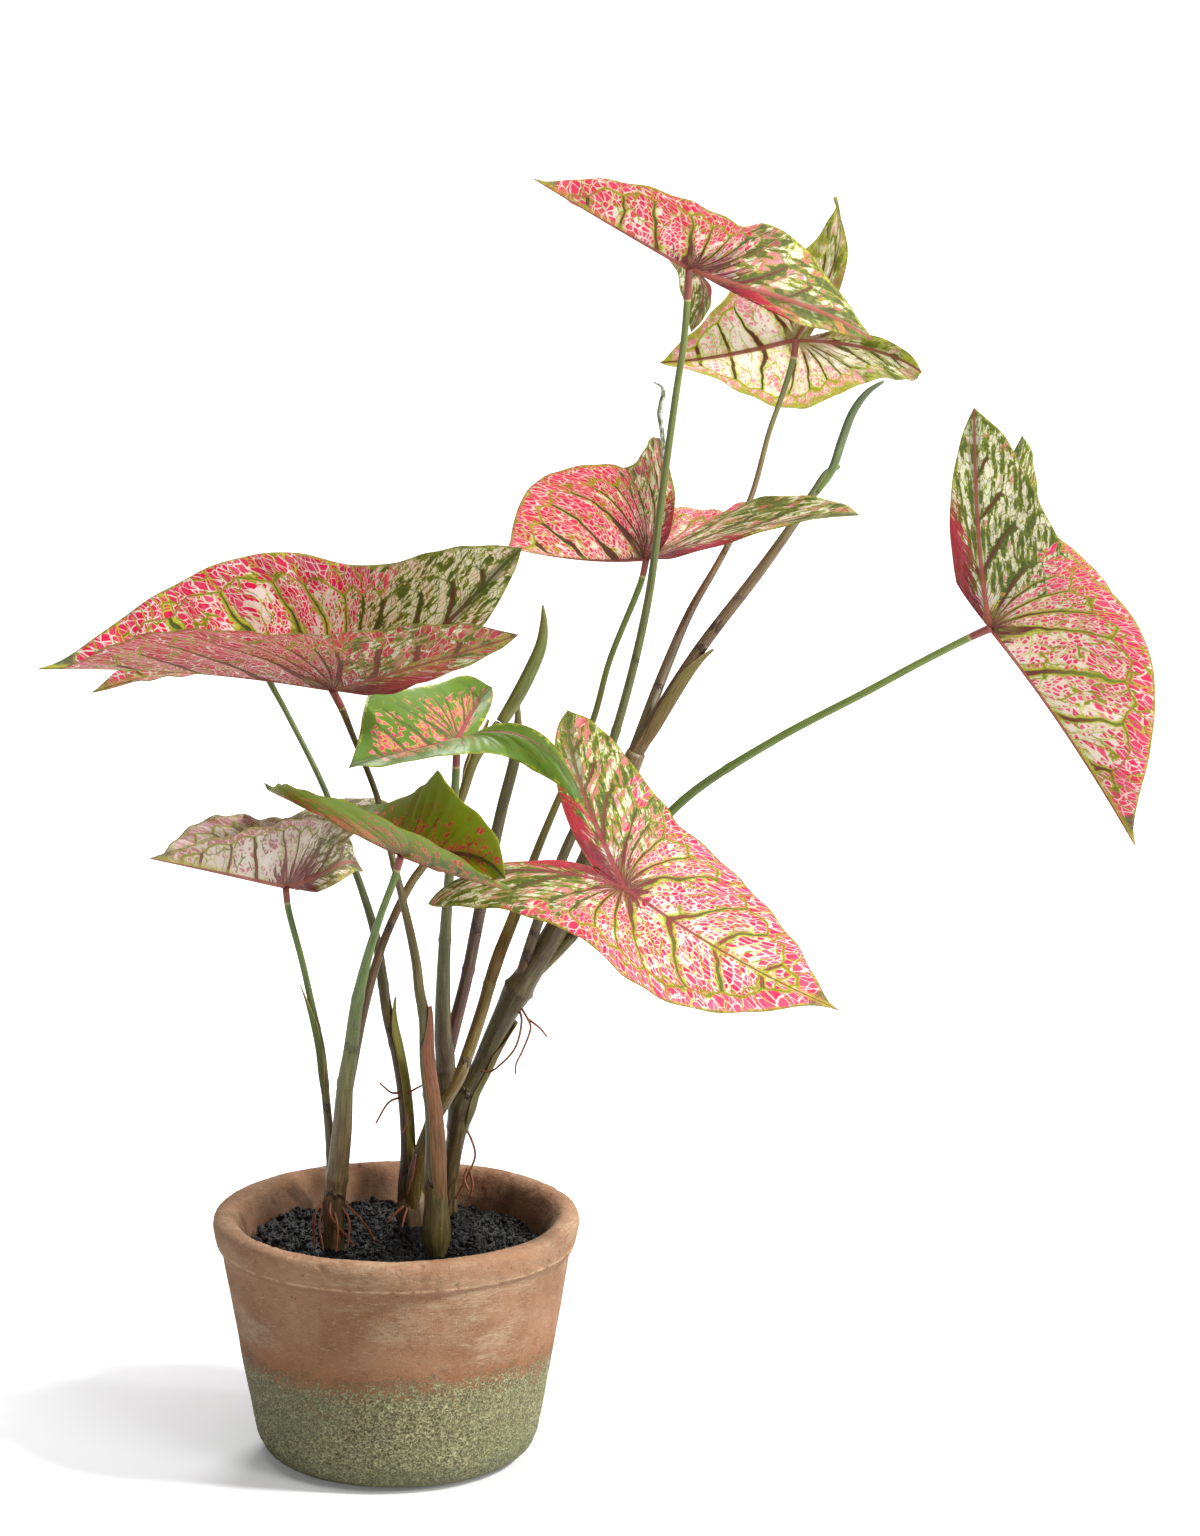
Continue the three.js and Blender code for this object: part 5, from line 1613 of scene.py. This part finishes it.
def paleFloor():
    mesh = bpy.data.meshes.new("floor")
    half = floorLook["half"]
    corners = [(x * half, y * half, 0) for x, y in ((-1, -1), (1, -1), (1, 1), (-1, 1))]
    mesh.from_pydata(corners, [], [(0, 1, 2, 3)])
    floor = bpy.data.objects.new("floor", mesh)
    floor.location.z = -floorLook["drop"]
    scene.collection.objects.link(floor)
    sheet = Sheet("floor paint")
    paint = sheet.node("BsdfDiffuse", {}, {"Color": floorLook["paint"]})
    glow = sheet.node("Emission", {}, {"Color": white, "Strength": floorLook["glow"]})
    bright = sheet.node("AddShader", {}, {0: paint, 1: glow})
    spot = sheet.node("TexCoord", {}, {}, 3)
    farness = sheet.node("VectorMath", {"operation": "LENGTH"}, {0: spot}, 1)
    farness = farness.step(floorLook["glowFrom"], floorLook["glowFull"])
    seen = sheet.node("LightPath")
    mesh.materials.append(sheet.finish(sheet.node("MixShader", {}, {0: seen * farness, 1: paint, 2: bright})))


def placeCamera():
    data = bpy.data.cameras.new("camera")
    data.sensor_width = cameraLook["sensor"]
    data.lens = cameraLook["lens"]
    data.clip_end = cameraLook["reach"]
    camera = bpy.data.objects.new("camera", data)
    camera.location = cameraLook["place"]
    camera.rotation_euler = (math.radians(90 - cameraLook["down"]), 0.0, 0.0)
    scene.collection.objects.link(camera)
    scene.camera = camera


def addLight(name, kind, place, energy, size):
    data = bpy.data.lights.new(name, kind)
    data.energy = energy
    if kind == "SUN":
        data.angle = math.radians(size)
    else:
        data.shape = "DISK"
        data.size = size
    light = bpy.data.objects.new(name, data)
    light.location = place
    light.rotation_euler = (Vector(lightsAim) - Vector(place)).to_track_quat("-Z", "Y").to_euler()
    scene.collection.objects.link(light)


def whiteSurround():
    # seen as white, while lighting more softly than it looks
    world = bpy.data.worlds.new("surround")
    world.use_nodes = True
    nodes, links = world.node_tree.nodes, world.node_tree.links
    lit = nodes["Background"]
    lit.inputs["Color"].default_value = white
    lit.inputs["Strength"].default_value = surroundLight
    seen = nodes.new("ShaderNodeBackground")
    seen.inputs["Color"].default_value = white
    chosen = nodes.new("ShaderNodeMixShader")
    links.new(nodes.new("ShaderNodeLightPath").outputs["Is Camera Ray"], chosen.inputs[0])
    links.new(lit.outputs[0], chosen.inputs[1])
    links.new(seen.outputs[0], chosen.inputs[2])
    links.new(chosen.outputs[0], nodes["World Output"].inputs["Surface"])
    scene.world = world


paleFloor()
placeCamera()
whiteSurround()
for name, light in lights.items():
    addLight(name, *light)
scene.view_settings.view_transform = "Standard"
print("stage set")
